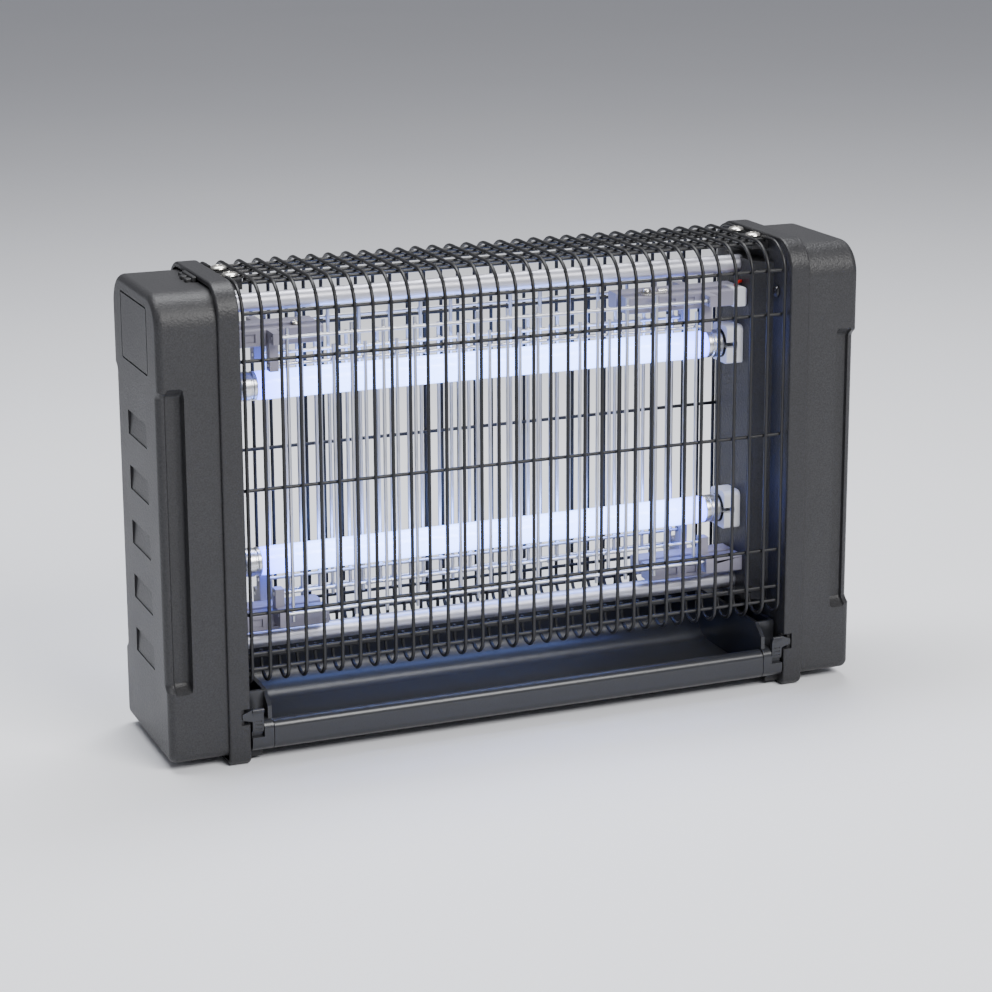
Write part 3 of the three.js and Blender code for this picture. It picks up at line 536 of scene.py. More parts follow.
class Solid:
    """A closed mesh under construction, in millimetres."""

    def __init__(self, mesh: bpy.types.Mesh) -> None:
        """Takes over a closed mesh and turns its faces out."""
        work = bmesh.new()
        work.from_mesh(mesh)
        bmesh.ops.recalc_face_normals(work, faces=work.faces)
        work.to_mesh(mesh)
        work.free()
        self.thing = bpy.data.objects.new("work", mesh)
        bpy.context.scene.collection.objects.link(self.thing)

    @classmethod
    def through(cls, rings: Sequence[Ring]) -> "Solid":
        """Solid through rings that have the same number of points, closed at both ends."""
        count = len(rings[0])
        points = [point for one in rings for point in one]
        faces = [tuple(range(count)), tuple(range(len(points) - count, len(points)))]
        for level in range(len(rings) - 1):
            base = level * count
            for i in range(count):
                j = (i + 1) % count
                faces.append((base + i, base + j, base + count + j, base + count + i))
        mesh = bpy.data.meshes.new("work")
        mesh.from_pydata(points, [], faces)
        return cls(mesh)

    @classmethod
    def prism(cls, outline: Sequence[Point], axis: Axis, start: float, end: float) -> "Solid":
        """Outline pushed along an axis."""
        return cls.through([ring(outline, axis, start), ring(outline, axis, end)])

    @classmethod
    def block(cls, low: Sequence[float], high: Sequence[float]) -> "Solid":
        """Box between two corners."""
        corners = [(low[1], low[2]), (high[1], low[2]), (high[1], high[2]), (low[1], high[2])]
        return cls.prism(corners, Axis.X, low[0], high[0])

    @classmethod
    def turned(
        cls, axis: Axis, centre: Point, profile: Sequence[Point], sides: int = 32
    ) -> "Solid":
        """Shape turned about an axis.

        Args:
            axis: Direction of the axis.
            centre: Where the axis stands in the plane across it.
            profile: Distance along the axis and radius, end to end.
            sides: Segments round the axis.

        Returns:
            The solid.
        """
        rings = []
        for at, radius in profile:
            outline = arc(centre, max(radius, 0.01), 0, 360, sides)[:-1]
            rings.append(ring(outline, axis, at))
        return cls.through(rings)

    def _settle(self) -> "Solid":
        """Replaces the mesh by its shape with the modifiers applied."""
        graph = bpy.context.evaluated_depsgraph_get()
        mesh = bpy.data.meshes.new_from_object(self.thing.evaluated_get(graph))
        old = self.thing.data
        self.thing.modifiers.clear()
        self.thing.data = mesh
        bpy.data.meshes.remove(old)
        return self

    def _combine(self, operation: str, others: Iterable["Solid"]) -> "Solid":
        """Joins or cuts with each of the others, which are used up."""
        for other in others:
            modifier = self.thing.modifiers.new("combine", "BOOLEAN")
            modifier.operation = operation
            modifier.solver = "MANIFOLD"
            modifier.object = other.thing
            self._settle()
            other.drop()
        return self

    def join(self, *others: "Solid") -> "Solid":
        """Adds the others."""
        return self._combine("UNION", others)

    def cut(self, *others: "Solid") -> "Solid":
        """Takes the others away."""
        return self._combine("DIFFERENCE", others)

    def drop(self) -> None:
        """Removes the work object and its mesh."""
        mesh = self.thing.data
        bpy.data.objects.remove(self.thing)
        bpy.data.meshes.remove(mesh)

    def eased(self, width: float, segments: int = 2, angle: float = 32.0) -> "Solid":
        """Rounds every edge that is sharper than an angle, by a width."""
        modifier = self.thing.modifiers.new("ease", "BEVEL")
        modifier.width = width
        modifier.segments = segments
        modifier.limit_method = "ANGLE"
        modifier.angle_limit = math.radians(angle)
        return self._settle()

    def reflected(self, x: int = 1, y: int = 1) -> "Solid":
        """Mirrors the solid in X, Y or both."""
        if x * y == 1 and x == 1:
            return self
        self.thing.data.transform(Matrix.Diagonal((x, y, 1, 1)))
        if x * y < 0:
            self.thing.data.flip_normals()
        return self

    def moved(self, x: float = 0.0, y: float = 0.0, z: float = 0.0) -> "Solid":
        """Shifts the solid."""
        self.thing.data.transform(Matrix.Translation((x, y, z)))
        return self

    def gathered(self, *others: "Solid") -> "Solid":
        """Takes the others into the same mesh, as separate shells."""
        work = bmesh.new()
        for one in (self, *others):
            work.from_mesh(one.thing.data)
        work.to_mesh(self.thing.data)
        work.free()
        for other in others:
            other.drop()
        return self

    def publish(
        self, name: str, body: str, finish: Finish, nodes: Sequence[str], crisp: float = 38.0
    ) -> bpy.types.Object:
        """Turns the solid into a finished piece in metres.

        Args:
            name: Name of the piece.
            body: Body that it rides on.
            finish: Its finish.
            nodes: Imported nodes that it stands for.
            crisp: Angle in degrees above which an edge stays sharp.

        Returns:
            The piece.
        """
        mesh = self.thing.data
        mesh.transform(Matrix.Scale(MM, 4))
        mesh.materials.clear()
        mesh.materials.append(Palette.material(finish))
        mesh.polygons.foreach_set("use_smooth", [True] * len(mesh.polygons))
        mesh.set_sharp_from_angle(angle=math.radians(crisp))
        weigh = self.thing.modifiers.new("weigh", "WEIGHTED_NORMAL")
        weigh.keep_sharp = True
        self._settle()
        piece = self.thing
        piece.name = name
        piece.data.name = name
        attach(piece, body)
        if nodes:
            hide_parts(*nodes)
        LOG.info("%s: %d faces on %s", name, len(piece.data.polygons), body)
        return piece


class RowTree(Graph):
    """Geometry tree that repeats what it is given at even steps."""

    SOCKETS = (
        ("Shape", "NodeSocketGeometry"),
        ("Count", "NodeSocketInt"),
        ("Step", "NodeSocketVector"),
        ("Radius", "NodeSocketFloat"),
        ("Material", "NodeSocketMaterial"),
    )

    def __init__(self, name: str, sides: int = 0) -> None:
        """Builds the tree.

        Args:
            name: Name of the tree.
            sides: Sides of a wire drawn along the given lines, or 0 to repeat solids.
        """
        super().__init__(bpy.data.node_groups.new(name, "GeometryNodeTree"))
        for label, kind in self.SOCKETS:
            self.tree.interface.new_socket(label, in_out="INPUT", socket_type=kind)
        self.tree.interface.new_socket("Shape", in_out="OUTPUT", socket_type="NodeSocketGeometry")
        given = self.node("NodeGroupInput").outputs
        shape = self._wire(given, sides) if sides else given["Shape"]
        line_inputs = {"Count": given["Count"], "Offset": given["Step"]}
        line = self.node("GeometryNodeMeshLine", {"mode": "OFFSET"}, line_inputs).outputs[0]
        copies = self.node("GeometryNodeInstanceOnPoints", None, {"Points": line, "Instance": shape})
        real = self.node("GeometryNodeRealizeInstances", None, {0: copies.outputs[0]})
        inputs = {"Geometry": real.outputs[0], "Material": given["Material"]}
        dressed = self.node("GeometryNodeSetMaterial", None, inputs)
        self.node("NodeGroupOutput", None, {"Shape": dressed.outputs[0]})

    def _wire(self, given: object, sides: int) -> bpy.types.NodeSocket:
        """Draws a round wire along the given lines, thinned by their taper."""
        curve = self.node("GeometryNodeMeshToCurve", None, {0: given["Shape"]}).outputs[0]
        taper = self.node("GeometryNodeInputNamedAttribute", {"data_type": "FLOAT"}, {"Name": "taper"})
        inputs = {0: taper.outputs[0], 1: given["Radius"]}
        radius = self.node("ShaderNodeMath", {"operation": "MULTIPLY"}, inputs).outputs[0]
        sized = self.node("GeometryNodeSetCurveRadius", None, {"Curve": curve, "Radius": radius})
        circle_inputs = {"Resolution": sides, "Radius": 1.0}
        circle = self.node("GeometryNodeCurvePrimitiveCircle", None, circle_inputs).outputs[0]
        inputs = {"Curve": sized.outputs[0], "Profile Curve": circle, "Fill Caps": True}
        return self.node("GeometryNodeCurveToMesh", None, inputs).outputs[0]

    def apply(
        self,
        shape: bpy.types.Mesh,
        count: int,
        step: Sequence[float],
        radius: float,
        finish: Finish,
    ) -> Solid:
        """Runs the tree on a mesh and gives the result as a solid.

        Args:
            shape: What is repeated.
            count: Number of copies.
            step: From one copy to the next.
            radius: Radius of a wire.
            finish: Finish of the copies.

        Returns:
            All the copies in one mesh.
        """
        holder = bpy.data.objects.new("row", shape)
        bpy.context.scene.collection.objects.link(holder)
        modifier = holder.modifiers.new("row", "NODES")
        modifier.node_group = self.tree
        values = {"Count": count, "Step": step, "Radius": radius, "Material": Palette.material(finish)}
        for item in self.tree.interface.items_tree:
            if item.in_out == "INPUT" and item.name in values:
                modifier[item.identifier] = values[item.name]
        graph = bpy.context.evaluated_depsgraph_get()
        mesh = bpy.data.meshes.new_from_object(holder.evaluated_get(graph))
        bpy.data.objects.remove(holder)
        bpy.data.meshes.remove(shape)
        return Solid(mesh)


class Rows:
    """The geometry trees, each made once."""

    _trees: dict[int, RowTree] = {}

    @classmethod
    def tree(cls, sides: int) -> RowTree:
        """The tree for wires with that many sides, or for solids if 0."""
        if sides not in cls._trees:
            cls._trees[sides] = RowTree(f"row_{sides}", sides)
        return cls._trees[sides]

    @classmethod
    def solids(cls, one: Solid, count: int, step: Sequence[float], finish: Finish) -> Solid:
        """Copies of a solid at even steps, which uses it up."""
        mesh = one.thing.data.copy()
        one.drop()
        return cls.tree(0).apply(mesh, count, step, 0.0, finish)

    @classmethod
    def wires(
        cls,
        lines: Sequence[Ring],
        diameter: float,
        count: int,
        step: Sequence[float],
        finish: Finish,
        sides: int = 12,
    ) -> Solid:
        """Round wires with round ends along open lines, repeated at even steps.

        Args:
            lines: Centre lines.
            diameter: Thickness of the wire.
            count: Number of copies of all the lines.
            step: From one copy to the next.
            finish: Finish of the wire.
            sides: Sides of the wire.

        Returns:
            All the wires in one mesh.
        """
        points, edges, tapers = [], [], []
        for line in lines:
            path, taper = cls._round_ends([Vector(p) for p in line], diameter / 2)
            first = len(points)
            points += path
            tapers += taper
            edges += [(first + i, first + i + 1) for i in range(len(path) - 1)]
        mesh = bpy.data.meshes.new("lines")
        mesh.from_pydata(points, edges, [])
        mesh.attributes.new("taper", "FLOAT", "POINT").data.foreach_set("value", tapers)
        return cls.tree(sides).apply(mesh, count, step, diameter / 2, finish)

    @staticmethod
    def _round_ends(path: list[Vector], radius: float) -> tuple[list[Vector], list[float]]:
        """Adds points at both ends of a path, where its radius falls to a dome."""
        angles = [math.radians(a) for a in (4, 25, 48, 70)]
        start = (path[1] - path[0]).normalized()
        end = (path[-2] - path[-1]).normalized()
        head = [path[0] + start * radius * (1 - math.cos(a)) for a in angles]
        tail = [path[-1] + end * radius * (1 - math.cos(a)) for a in reversed(angles)]
        body = [path[0] + start * radius, *path[1:-1], path[-1] + end * radius]
        domes = [math.sin(a) for a in angles]
        return [*head, *body, *tail], [*domes, *([1.0] * len(body)), *reversed(domes)]


def bar_x(x0: float, x1: float, y: float, z: float) -> Ring:
    """Straight line along X."""
    return [(x0, y, z), (x1, y, z)]


# ---------------------------------------------------------------- end housings


@dataclass
class EndHousing:
    """End cap and end frame of one side, drawn for the right and mirrored for the left."""

    side: Side
    edge_round: float = 4.0
    seam_round: float = 0.7
    band_round: float = 1.1
    top_round: float = 18.0
    foot_round: float = 5.0
    wall: float = 2.6
    channel_width: float = 13.2
    channel_depth: float = 4.5
    channel_low: float = 40.0
    channel_drop: float = 49.0
    channel_ramp: float = 9.0
    groove_depth: float = 2.2
    gill_count: int = 5
    gill_pitch: float = 30.5
    gill_height: float = 13.5
    gill_length: float = 37.0
    gill_depth: float = 1.5
    gill_drop: float = 75.5
    panel_height: float = 36.6
    panel_length: float = 53.0
    panel_drop: float = 12.0
    panel_line: float = 0.9
    pad_half: float = 16.5
    pad_flare: float = 10.0
    pad_foot: float = 46.0
    pad_drop: float = 15.0
    tab_half: float = 18.0
    tab_reach: float = 10.4
    tab_height: float = 5.0
    rail_reach: float = 8.0
    rail_inset: float = 7.0
    rail_height: float = 4.0
    post: float = 4.5
    bore: float = 1.9
    bore_depth: float = 17.0
    head_well: float = 3.5
    guard_bore: float = 2.3
    bar_bore: float = 5.3
    bar_depth: float = 2.3

    def __post_init__(self) -> None:
        """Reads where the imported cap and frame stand.

        The left frame has no lamp pad, so its box gives the plain inner wall of both sides.
        """
        self.cap_low, self.cap_high = node_box("right_end_cap")
        low, high = node_box("left_end_frame")
        self.wall_x = self.tab_reach - high.x
        self.seam_x = -low.x
        self.half = high.y
        self.top = node_box("right_end_frame")[1].z

    def build(self) -> None:
        """Makes the cap and the frame."""
        word = self.side.word
        cap = self._cap().reflected(self.side.value)
        cap.publish(f"end_cap_{word}", "root", Palette.SHELL, [f"{word}_end_cap"])
        band = self._frame().reflected(self.side.value)
        band.publish(f"end_frame_{word}", "root", Palette.FRAME, [f"{word}_end_frame"])

    def _outline(self, half: float, low: float, high: float, inset: float) -> list[Point]:
        """Side outline, moved in by an inset."""
        radii = (max(self.foot_round - inset, 0.8), self.top_round - inset)
        return rounded_box((-half + inset, low + inset), (half - inset, high - inset), radii, 14)

    def _shell(self, half: float, low: float, high: float, steps: Iterable[Point]) -> Solid:
        """Shape through side outlines, each at an X with an inset."""
        rings = [ring(self._outline(half, low, high, inset), Axis.X, x) for x, inset in steps]
        return Solid.through(rings)

    def _cap(self) -> Solid:
        """Hollow cover with grip channels, gills, a label panel and screw posts."""
        half, low, high = self.cap_high.y, self.cap_low.z, self.cap_high.z
        x0, x1 = self.cap_low.x, self.cap_high.x
        seam = [(x0 + depth, inset) for depth, inset in rounding(self.seam_round, 3)]
        edge = [(x1 - depth, inset) for depth, inset in reversed(rounding(self.edge_round, 8))]
        cap = self._shell(half, low, high, [*seam, *edge])
        inner = self.wall + self.channel_depth
        cavity = self._outline(half - inner, low + self.wall, high - self.wall, 0.0)
        cap.cut(Solid.prism(cavity, Axis.X, x0 - 1, x1 - self.wall - self.gill_depth))
        posts, bores = [], []
        for place in self._screw_places():
            post = [(self.wall_x + self.wall + FIT, self.post), (x1 - self.wall, self.post)]
            posts.append(Solid.turned(Axis.X, place, post))
            bore = [(self.wall_x, self.bore), (self.wall_x + self.bore_depth, self.bore)]
            bores.append(Solid.turned(Axis.X, place, bore))
        cap.join(*posts)
        cap.cut(*bores, self._channel(-1), self._channel(1), self._groove(x1), self._gills(x1))
        if self.side is Side.LEFT:
            cap.cut(self._catch_notch())
        else:
            cap.cut(self._slit(), self._gland_hole())
        return cap.eased(0.45, 3)

    def _catch_notch(self) -> Solid:
        """Notch in the top of the cap, where the snap catch sits."""
        x0, top = self.cap_low.x, self.cap_high.z
        return Solid.block((x0 - 1, -6, top - 3.4), (x0 + 5, 20, top + 1))

    def _slit(self) -> Solid:
        """Slit in the top of the cap, beside the band."""
        x0, top = self.cap_low.x, self.cap_high.z
        return Solid.block((x0 + 12.0, 6.6, top - 2.2), (x0 + 13.9, 20.7, top + 1))

    def _gland_hole(self) -> Solid:
        """Hole for the mains gland, in the rear of the cap."""
        place = (node_middle("cable_gland").x, 24.0)
        return Solid.turned(Axis.Y, place, [(20, 5.3), (60, 5.3)])

    def _screw_places(self) -> list[Point]:
        """Y and Z of the two cap screws."""
        middles = [node_middle(f"cap_screw_{level.word}_right") for level in Level]
        return [(middle.y, middle.z) for middle in middles]

    def _channel(self, sign: int) -> Solid:
        """Grip channel along a vertical corner, with eased ramps at its ends."""
        low, high = self.channel_low, self.top - self.channel_drop
        steps = [i / 8 for i in range(9)]
        stations = [(low + self.channel_ramp * t, t) for t in steps]
        stations += [(high - self.channel_ramp * t, t) for t in reversed(steps)]
        rings = [ring(self._section(sign, t * t * (3 - 2 * t)), Axis.Z, z) for z, t in stations]
        return Solid.through(rings)

    def _section(self, sign: int, depth: float) -> list[Point]:
        """Outline of what a channel takes away: a round strip at the corner, then a groove."""
        x1, r = self.cap_high.x, self.edge_round
        x0 = x1 - self.channel_width
        out = self.cap_high.y + (1 - depth) * (self.channel_depth + r)
        crest = out - self.channel_depth + 0.7
        floor = crest - self.groove_depth
        points = [
            (x1 + 2, crest - r),
            *arc((x1 - r, crest - r), r, 0, 90, 8),
            *arc((x1 - r - 1.4, floor + 1.0), 1.0, 0, -90, 3),
            *arc((x0 + 2.0, floor + 2.0), 2.0, 270, 180, 4),
            (x0 - 0.6, out + 1),
            (x1 + 2, out + 1),
        ]
        return [(x, sign * y) for x, y in points]

    def _gills(self, face: float) -> Solid:
        """Row of sloped recesses in the outer face."""
        top = self.top - self.gill_drop
        outline = [(face + 1, top), (face + 1, top - self.gill_height),
                   (face - 0.5, top - self.gill_height), (face - self.gill_depth, top - 0.8)]
        gill = Solid.prism(outline, Axis.Y, -self.gill_length / 2, self.gill_length / 2)
        return Rows.solids(gill, self.gill_count, (0, 0, -self.gill_pitch), Palette.SHELL)

    def _groove(self, face: float) -> Solid:
        """Thin groove round the label panel."""
        half, top = self.panel_length / 2, self.top - self.panel_drop
        low = top - self.panel_height
        outer = rounded_box((-half, low), (half, top), (2.5, 2.5), 6)
        line = self.panel_line
        inner = rounded_box((-half + line, low + line), (half - line, top - line), (1.6, 1.6), 6)
        groove = Solid.prism(outer, Axis.X, face - 0.7, face + 1)
        return groove.cut(Solid.prism(inner, Axis.X, face - 2, face + 2))

    def _frame(self) -> Solid:
        """Band with the inner wall, tab, rail, latch notch and, on the right, the lamp pad."""
        x0, x1, half = self.wall_x, self.seam_x, self.half
        rise = [(x0 + depth, inset) for depth, inset in rounding(self.band_round, 3)]
        fall = [(x1 - depth, inset) for depth, inset in reversed(rounding(self.band_round, 3))]
        band = self._shell(half, 0.0, self.top, [*rise, *fall])
        hollow = self._outline(half, 0.0, self.top, self.wall)
        band.cut(Solid.prism(hollow, Axis.X, x0 + self.wall, x1 + 1))
        tab_foot = node_box("guard_screw_front_right")[0].z
        tab_top = tab_foot + self.tab_height
        tab = Solid.block((x0 - self.tab_reach, -self.tab_half, tab_foot), (x0 + 1, self.tab_half, tab_top))
        rail_top = node_box("tray_pan")[0].z - FIT
        rail_y = half - self.rail_inset
        rail = Solid.block((x0 - self.rail_reach, -rail_y, rail_top - self.rail_height),
                           (x0 + 1, rail_y, rail_top))
        band.join(tab, rail)
        face = x0
        if self.side is Side.RIGHT:
            face = node_box("right_end_frame")[0].x
            band.join(self._lamp_pad(face))
        cuts = [self._latch_notch()]
        screw = node_middle("guard_screw_front_right")
        for y in (screw.y, -screw.y):
            bore = [(tab_foot - 1, self.guard_bore), (tab_top + 1, self.guard_bore)]
            cuts.append(Solid.turned(Axis.Z, (screw.x, y), bore))
        for place in self._screw_places():
            cuts.append(Solid.turned(Axis.X, place, [(face - 1, self.bore), (x1, self.bore)]))
            well = [(face - 1, self.head_well), (x0 + 0.01, self.head_well)]
            cuts.append(Solid.turned(Axis.X, place, well))
        for level in Level:
            socket = [(face - 1, self.bar_bore), (face + self.bar_depth, self.bar_bore)]
            middle = node_middle(f"{level.word}_tie_bar")
            cuts.append(Solid.turned(Axis.X, (0.0, middle.z), socket))
        return band.cut(*cuts).eased(0.4, 2)

    def _lamp_pad(self, face: float) -> Solid:
        """Raised pad behind the right lampholders, with sloped sides."""
        base = self.wall_x + 1
        wide = self.pad_half + self.pad_flare
        plan = [(base, -wide), (base, wide), (face, self.pad_half), (face, -self.pad_half)]
        return Solid.prism(plan, Axis.Z, self.pad_foot, self.top - self.pad_drop)

    def _latch_notch(self) -> Solid:
        """Notch in the front corner that the tray latch hooks into."""
        low, high = node_box("tray_latch_right")
        return Solid.block((self.wall_x - 1, -self.half - 1, high.z - 8.4),
                           (high.x + 0.6, low.y + 3.6, high.z + 0.6))


# ---------------------------------------------------------------- guards


@dataclass
class WireGuard:
    """One guard: bent wires on rods, with a screw lug at each end."""

    face: Face
    wire: float = 2.4
    count: int = 32
    bend: float = 17.0
    hook: float = 8.5
    hook_rise: float = 5.0
    split: float = 1.6
    end_split: float = 16.0
    foot: float = 42.0
    thin: float = 2.0
    weld: float = 0.4
    face_rods: tuple[tuple[float, tuple[float, ...]], ...] = (
        (2.2, (150.0, 82.0)),
        (3.3, (219.3,)),
        (1.8, (60.0, 51.5)),
    )
    top_rods: tuple[float, ...] = (-7.0, -16.0, -25.5)
    bend_rod: float = 172.0
    lug_half: float = 4.5
    lug_reach: float = 9.0
    lug_height: float = 1.5

    def __post_init__(self) -> None:
        """Reads the middle planes of the outermost, front and top wires."""
        low, high = node_box("front_guard")
        self.reach = high.x - self.wire / 2
        self.plane = -low.y - self.wire / 2
        self.crown = high.z - self.wire / 2
        self.pitch = 2 * self.reach / (self.count - 1)

    def build(self) -> None:
        """Makes the guard as one piece, drawn for the front and turned for the rear."""
        finish = Palette.GUARD
        inner_line = self._line(-self.reach + self.pitch, -self.split)
        inner = Rows.wires([inner_line], self.wire, self.count - 2, (self.pitch, 0, 0), finish)
        outer_line = self._line(-self.reach, -self.end_split)
        outer = Rows.wires([outer_line], self.wire, 2, (2 * self.reach, 0, 0), finish)
        rods = [self._rods(diameter, heights) for diameter, heights in self.face_rods]
        lugs = [self._lug(sign) for sign in (-1, 1)]
        guard = inner.gathered(outer, *rods, self._upper_rods(), self._hook_rod(), *lugs)
        if self.face is Face.REAR:
            guard.reflected(-1, -1)
        guard.publish(f"guard_{self.face.word}", "root", finish, [f"{self.face.word}_guard"], 50.0)

    def _line(self, x: float, start: float) -> Ring:
        """Centre line of one wire from the top of the unit to the end of its hook."""
        y, z = self.plane, self.crown
        foot = self.foot + self.wire / 2 + self.hook
        flat = [
            (start, z),
            *arc((-y + self.bend, z - self.bend), self.bend, 90, 180, 10),
            *arc((-y + self.hook, foot), self.hook, 180, 360, 14),
            (-y + 2 * self.hook, foot + self.hook_rise),
        ]
        return ring(flat, Axis.X, x)

    def _rods(self, diameter: float, heights: Sequence[float]) -> Solid:
        """Rods behind the front of the wires, at heights."""
        end = self.reach + self.wire / 2
        depth = -self.plane + (self.wire + diameter) / 2 - self.weld
        lines = [bar_x(-end, end, depth, z) for z in heights]
        return Rows.wires(lines, diameter, 1, (0, 0, 0), Palette.GUARD)

    def _upper_rods(self) -> Solid:
        """Rods under the top of the wires, and one inside the bend."""
        end = self.reach - self.pitch + self.wire / 2
        low = self.crown - self.wire + self.weld
        lines = [bar_x(-end, end, y, low) for y in self.top_rods]
        tilt = math.radians(self.bend_rod)
        inner = self.bend - self.wire + self.weld
        y = -self.plane + self.bend + inner * math.cos(tilt)
        z = self.crown - self.bend + inner * math.sin(tilt)
        lines.append(bar_x(-self.reach, self.reach, y, z))
        return Rows.wires(lines, self.thin, 1, (0, 0, 0), Palette.GUARD)

    def _hook_rod(self) -> Solid:
        """Rod along the ends of the hooks."""
        foot = self.foot + self.wire / 2 + self.hook
        y = -self.plane + 2 * self.hook - self.wire + self.weld
        line = bar_x(-self.reach, self.reach, y, foot + self.hook_rise / 2)
        return Rows.wires([line], self.thin, 1, (0, 0, 0), Palette.GUARD)

    def _lug(self, sign: int) -> Solid:
        """Flat lug under a guard screw."""
        screw = node_middle("guard_screw_front_right")
        end = self.reach + self.wire / 2
        top = self.crown - self.wire / 2 + 0.6
        low = (screw.x - self.lug_half, screw.y - self.lug_reach)
        plan = rounded_box(low, (end, screw.y + self.lug_half), (2.0, 2.0), 5)
        lug = Solid.prism(plan, Axis.Z, top - self.lug_height, top)
        lug.cut(Solid.turned(Axis.Z, (screw.x, screw.y), [(top - 5, 2.3), (top + 5, 2.3)]))
        return lug.eased(0.3).reflected(sign)


# ---------------------------------------------------------------- tubes


@dataclass
class Lamp:
    """One fluorescent tube with its two bases and its two lampholders."""

    level: Level
    shoulder: float = 2.4
    base_length: float = 10.0
    pin: float = 2.3
    pin_spacing: float = 4.8
    pin_length: float = 6.6
    well: float = 4.8
    well_depth: float = 6.9
    slot_half: float = 1.6
    strength: float = 10.0

    def __post_init__(self) -> None:
        """Reads the height and the radius of the tube."""
        low, high = node_box(f"{self.level.word}_tube_glass")
        self.z = (low.z + high.z) / 2
        self.radius = (high.z - low.z) / 2

    def build(self) -> None:
        """Makes the tube on its body and the holders on the root."""
        word = self.level.word
        low, high = node_box(f"{word}_tube_glass")
        middle, half = (low.x + high.x) / 2, (high.x - low.x) / 2
        finish = LitTube("lit_tube", "tube_glass", middle, half, self.strength)
        body = f"{word}_tube"
        self._glass(low.x, high.x).publish(f"tube_{word}", body, finish, [f"{word}_tube_glass"])
        for side in Side:
            base = f"{word}_tube_base_{side.word}"
            self._base(base, side).publish(f"tube_cap_{word}_{side.word}", body, Palette.BASE, [base])
            holder = f"lampholder_{word}_{side.word}"
            self._holder(holder, side).publish(f"holder_{word}_{side.word}", "root", Palette.HOLDER, [holder])
            # The dark ring is painted shade: it stands for the shadow in the gap between the tube base and
            # the holder.
            self._rotor(holder, side).publish(f"rotor_{word}_{side.word}", "root", Palette.BLACK, [])

    def _glass(self, x0: float, x1: float) -> Solid:
        """Glass envelope that necks in under the bases."""
        r, s = self.radius, self.shoulder
        rise = [(x0 + s * (1 - math.cos(a)), r - s * 0.35 * (1 - math.sin(a)))
                for a in (math.pi / 2 * i / 5 for i in range(6))]
        fall = [(x0 + x1 - x, radius) for x, radius in reversed(rise)]
        return Solid.turned(Axis.X, (0.0, self.z), [*rise, *fall], 40)

    def _base(self, node: str, side: Side) -> Solid:
        """Drawn cap with a rolled rim, an insulating disc and two pins."""
        low, high = node_box(node)
        start = low.x if side is Side.RIGHT else -high.x
        length = self.base_length
        r = (high.z - low.z) / 2
        profile = [(0, r - 1.2), (0, r - 0.3), (0.4, r), (2.0, r), (2.5, r - 0.5), (3.2, r - 0.5),
                   (3.7, r), (length - 1.6, r), (length - 0.6, r - 0.5), (length, r - 1.6),
                   (length, 4.6), (length + 0.4, 4.4), (length + 0.4, 0.0)]
        cap = Solid.turned(Axis.X, (0.0, self.z), [(start + x, radius) for x, radius in profile], 40)
        pins = []
        for sign in (-1, 1):
            at = start + length - 1
            tip = at + 1 + self.pin_length
            outline = [(at, self.pin / 2), (tip - 0.8, self.pin / 2), (tip - 0.2, self.pin / 3), (tip, 0.3)]
            centre = (0.0, self.z + sign * self.pin_spacing / 2)
            pins.append(Solid.turned(Axis.X, centre, outline, 16))
        return cap.join(*pins).reflected(side.value)

    def _holder(self, node: str, side: Side) -> Solid:
        """Rotary lampholder: a rounded block with a well where the pins turn, and an entry slot."""
        low, high = node_box(node)
        x0, x1 = (low.x, high.x) if side is Side.RIGHT else (-high.x, -low.x)
        half, tall = (high.y - low.y) / 2, (high.z - low.z) / 2
        outline = rounded_box((-half, self.z - tall), (half, self.z + tall), (1.5, 3.0), 6)
        body = Solid.prism(outline, Axis.X, x0, x1)
        floor = x0 + self.well_depth
        body.cut(Solid.turned(Axis.X, (0.0, self.z), [(x0 - 1, 7.4), (x0 + 0.9, 7.4)], 32))
        body.cut(Solid.turned(Axis.X, (0.0, self.z), [(x0 - 1, self.well), (floor, self.well)], 32))
        slot_low = (x0 - 1, -half - 1, self.z - self.slot_half)
        body.cut(Solid.block(slot_low, (floor, 0, self.z + self.slot_half)))
        return body.eased(0.5, 3).reflected(side.value)

    def _rotor(self, node: str, side: Side) -> Solid:
        """Dark ring round the well of a lampholder, split where the pins go in: painted shade for the
        shadowed gap between the tube base and the holder.
        """
        low, high = node_box(node)
        x0 = (low.x if side is Side.RIGHT else -high.x) - 0.15
        shade_ring = Solid.turned(Axis.X, (0.0, self.z), [(x0, 8.3), (x0 + 0.3, 8.6), (x0 + 0.9, 8.6)], 36)
        shade_ring.cut(Solid.turned(Axis.X, (0.0, self.z), [(x0 - 1, 6.4), (x0 + 2, 6.4)], 36))
        slot_low = (x0 - 1, -20, self.z - self.slot_half)
        shade_ring.cut(Solid.block(slot_low, (x0 + 2, 0, self.z + self.slot_half)))
        return shade_ring.reflected(side.value)


@dataclass
class TieBar:
    """Round bar between the two frames."""

    level: Level

    def build(self) -> None:
        """Makes the bar."""
        node = f"{self.level.word}_tie_bar"
        low, high = node_box(node)
        r = (high.z - low.z) / 2
        profile = [(low.x, r - 0.6), (low.x + 0.6, r), (high.x - 0.6, r), (high.x, r - 0.6)]
        bar = Solid.turned(Axis.X, (0.0, (low.z + high.z) / 2), profile, 40)
        bar.publish(f"tie_bar_{self.level.word}", "root", Palette.BAR, [node])


# ---------------------------------------------------------------- high-voltage grid


@dataclass(frozen=True)
class Grid:
    """Where the two electrodes and their insulators stand, the same for every grid."""

    live_inset: float = 5.0
    return_inset: float = 9.0
    upper_seat: float = 220.0
    lower_seat: float = 62.0
    block_height: float = 9.5
    block_front: float = -13.0

    def inset(self, live: bool) -> float:
        """Distance of an electrode's rods from the ends of its wires."""
        return self.live_inset if live else self.return_inset


GRID = Grid()


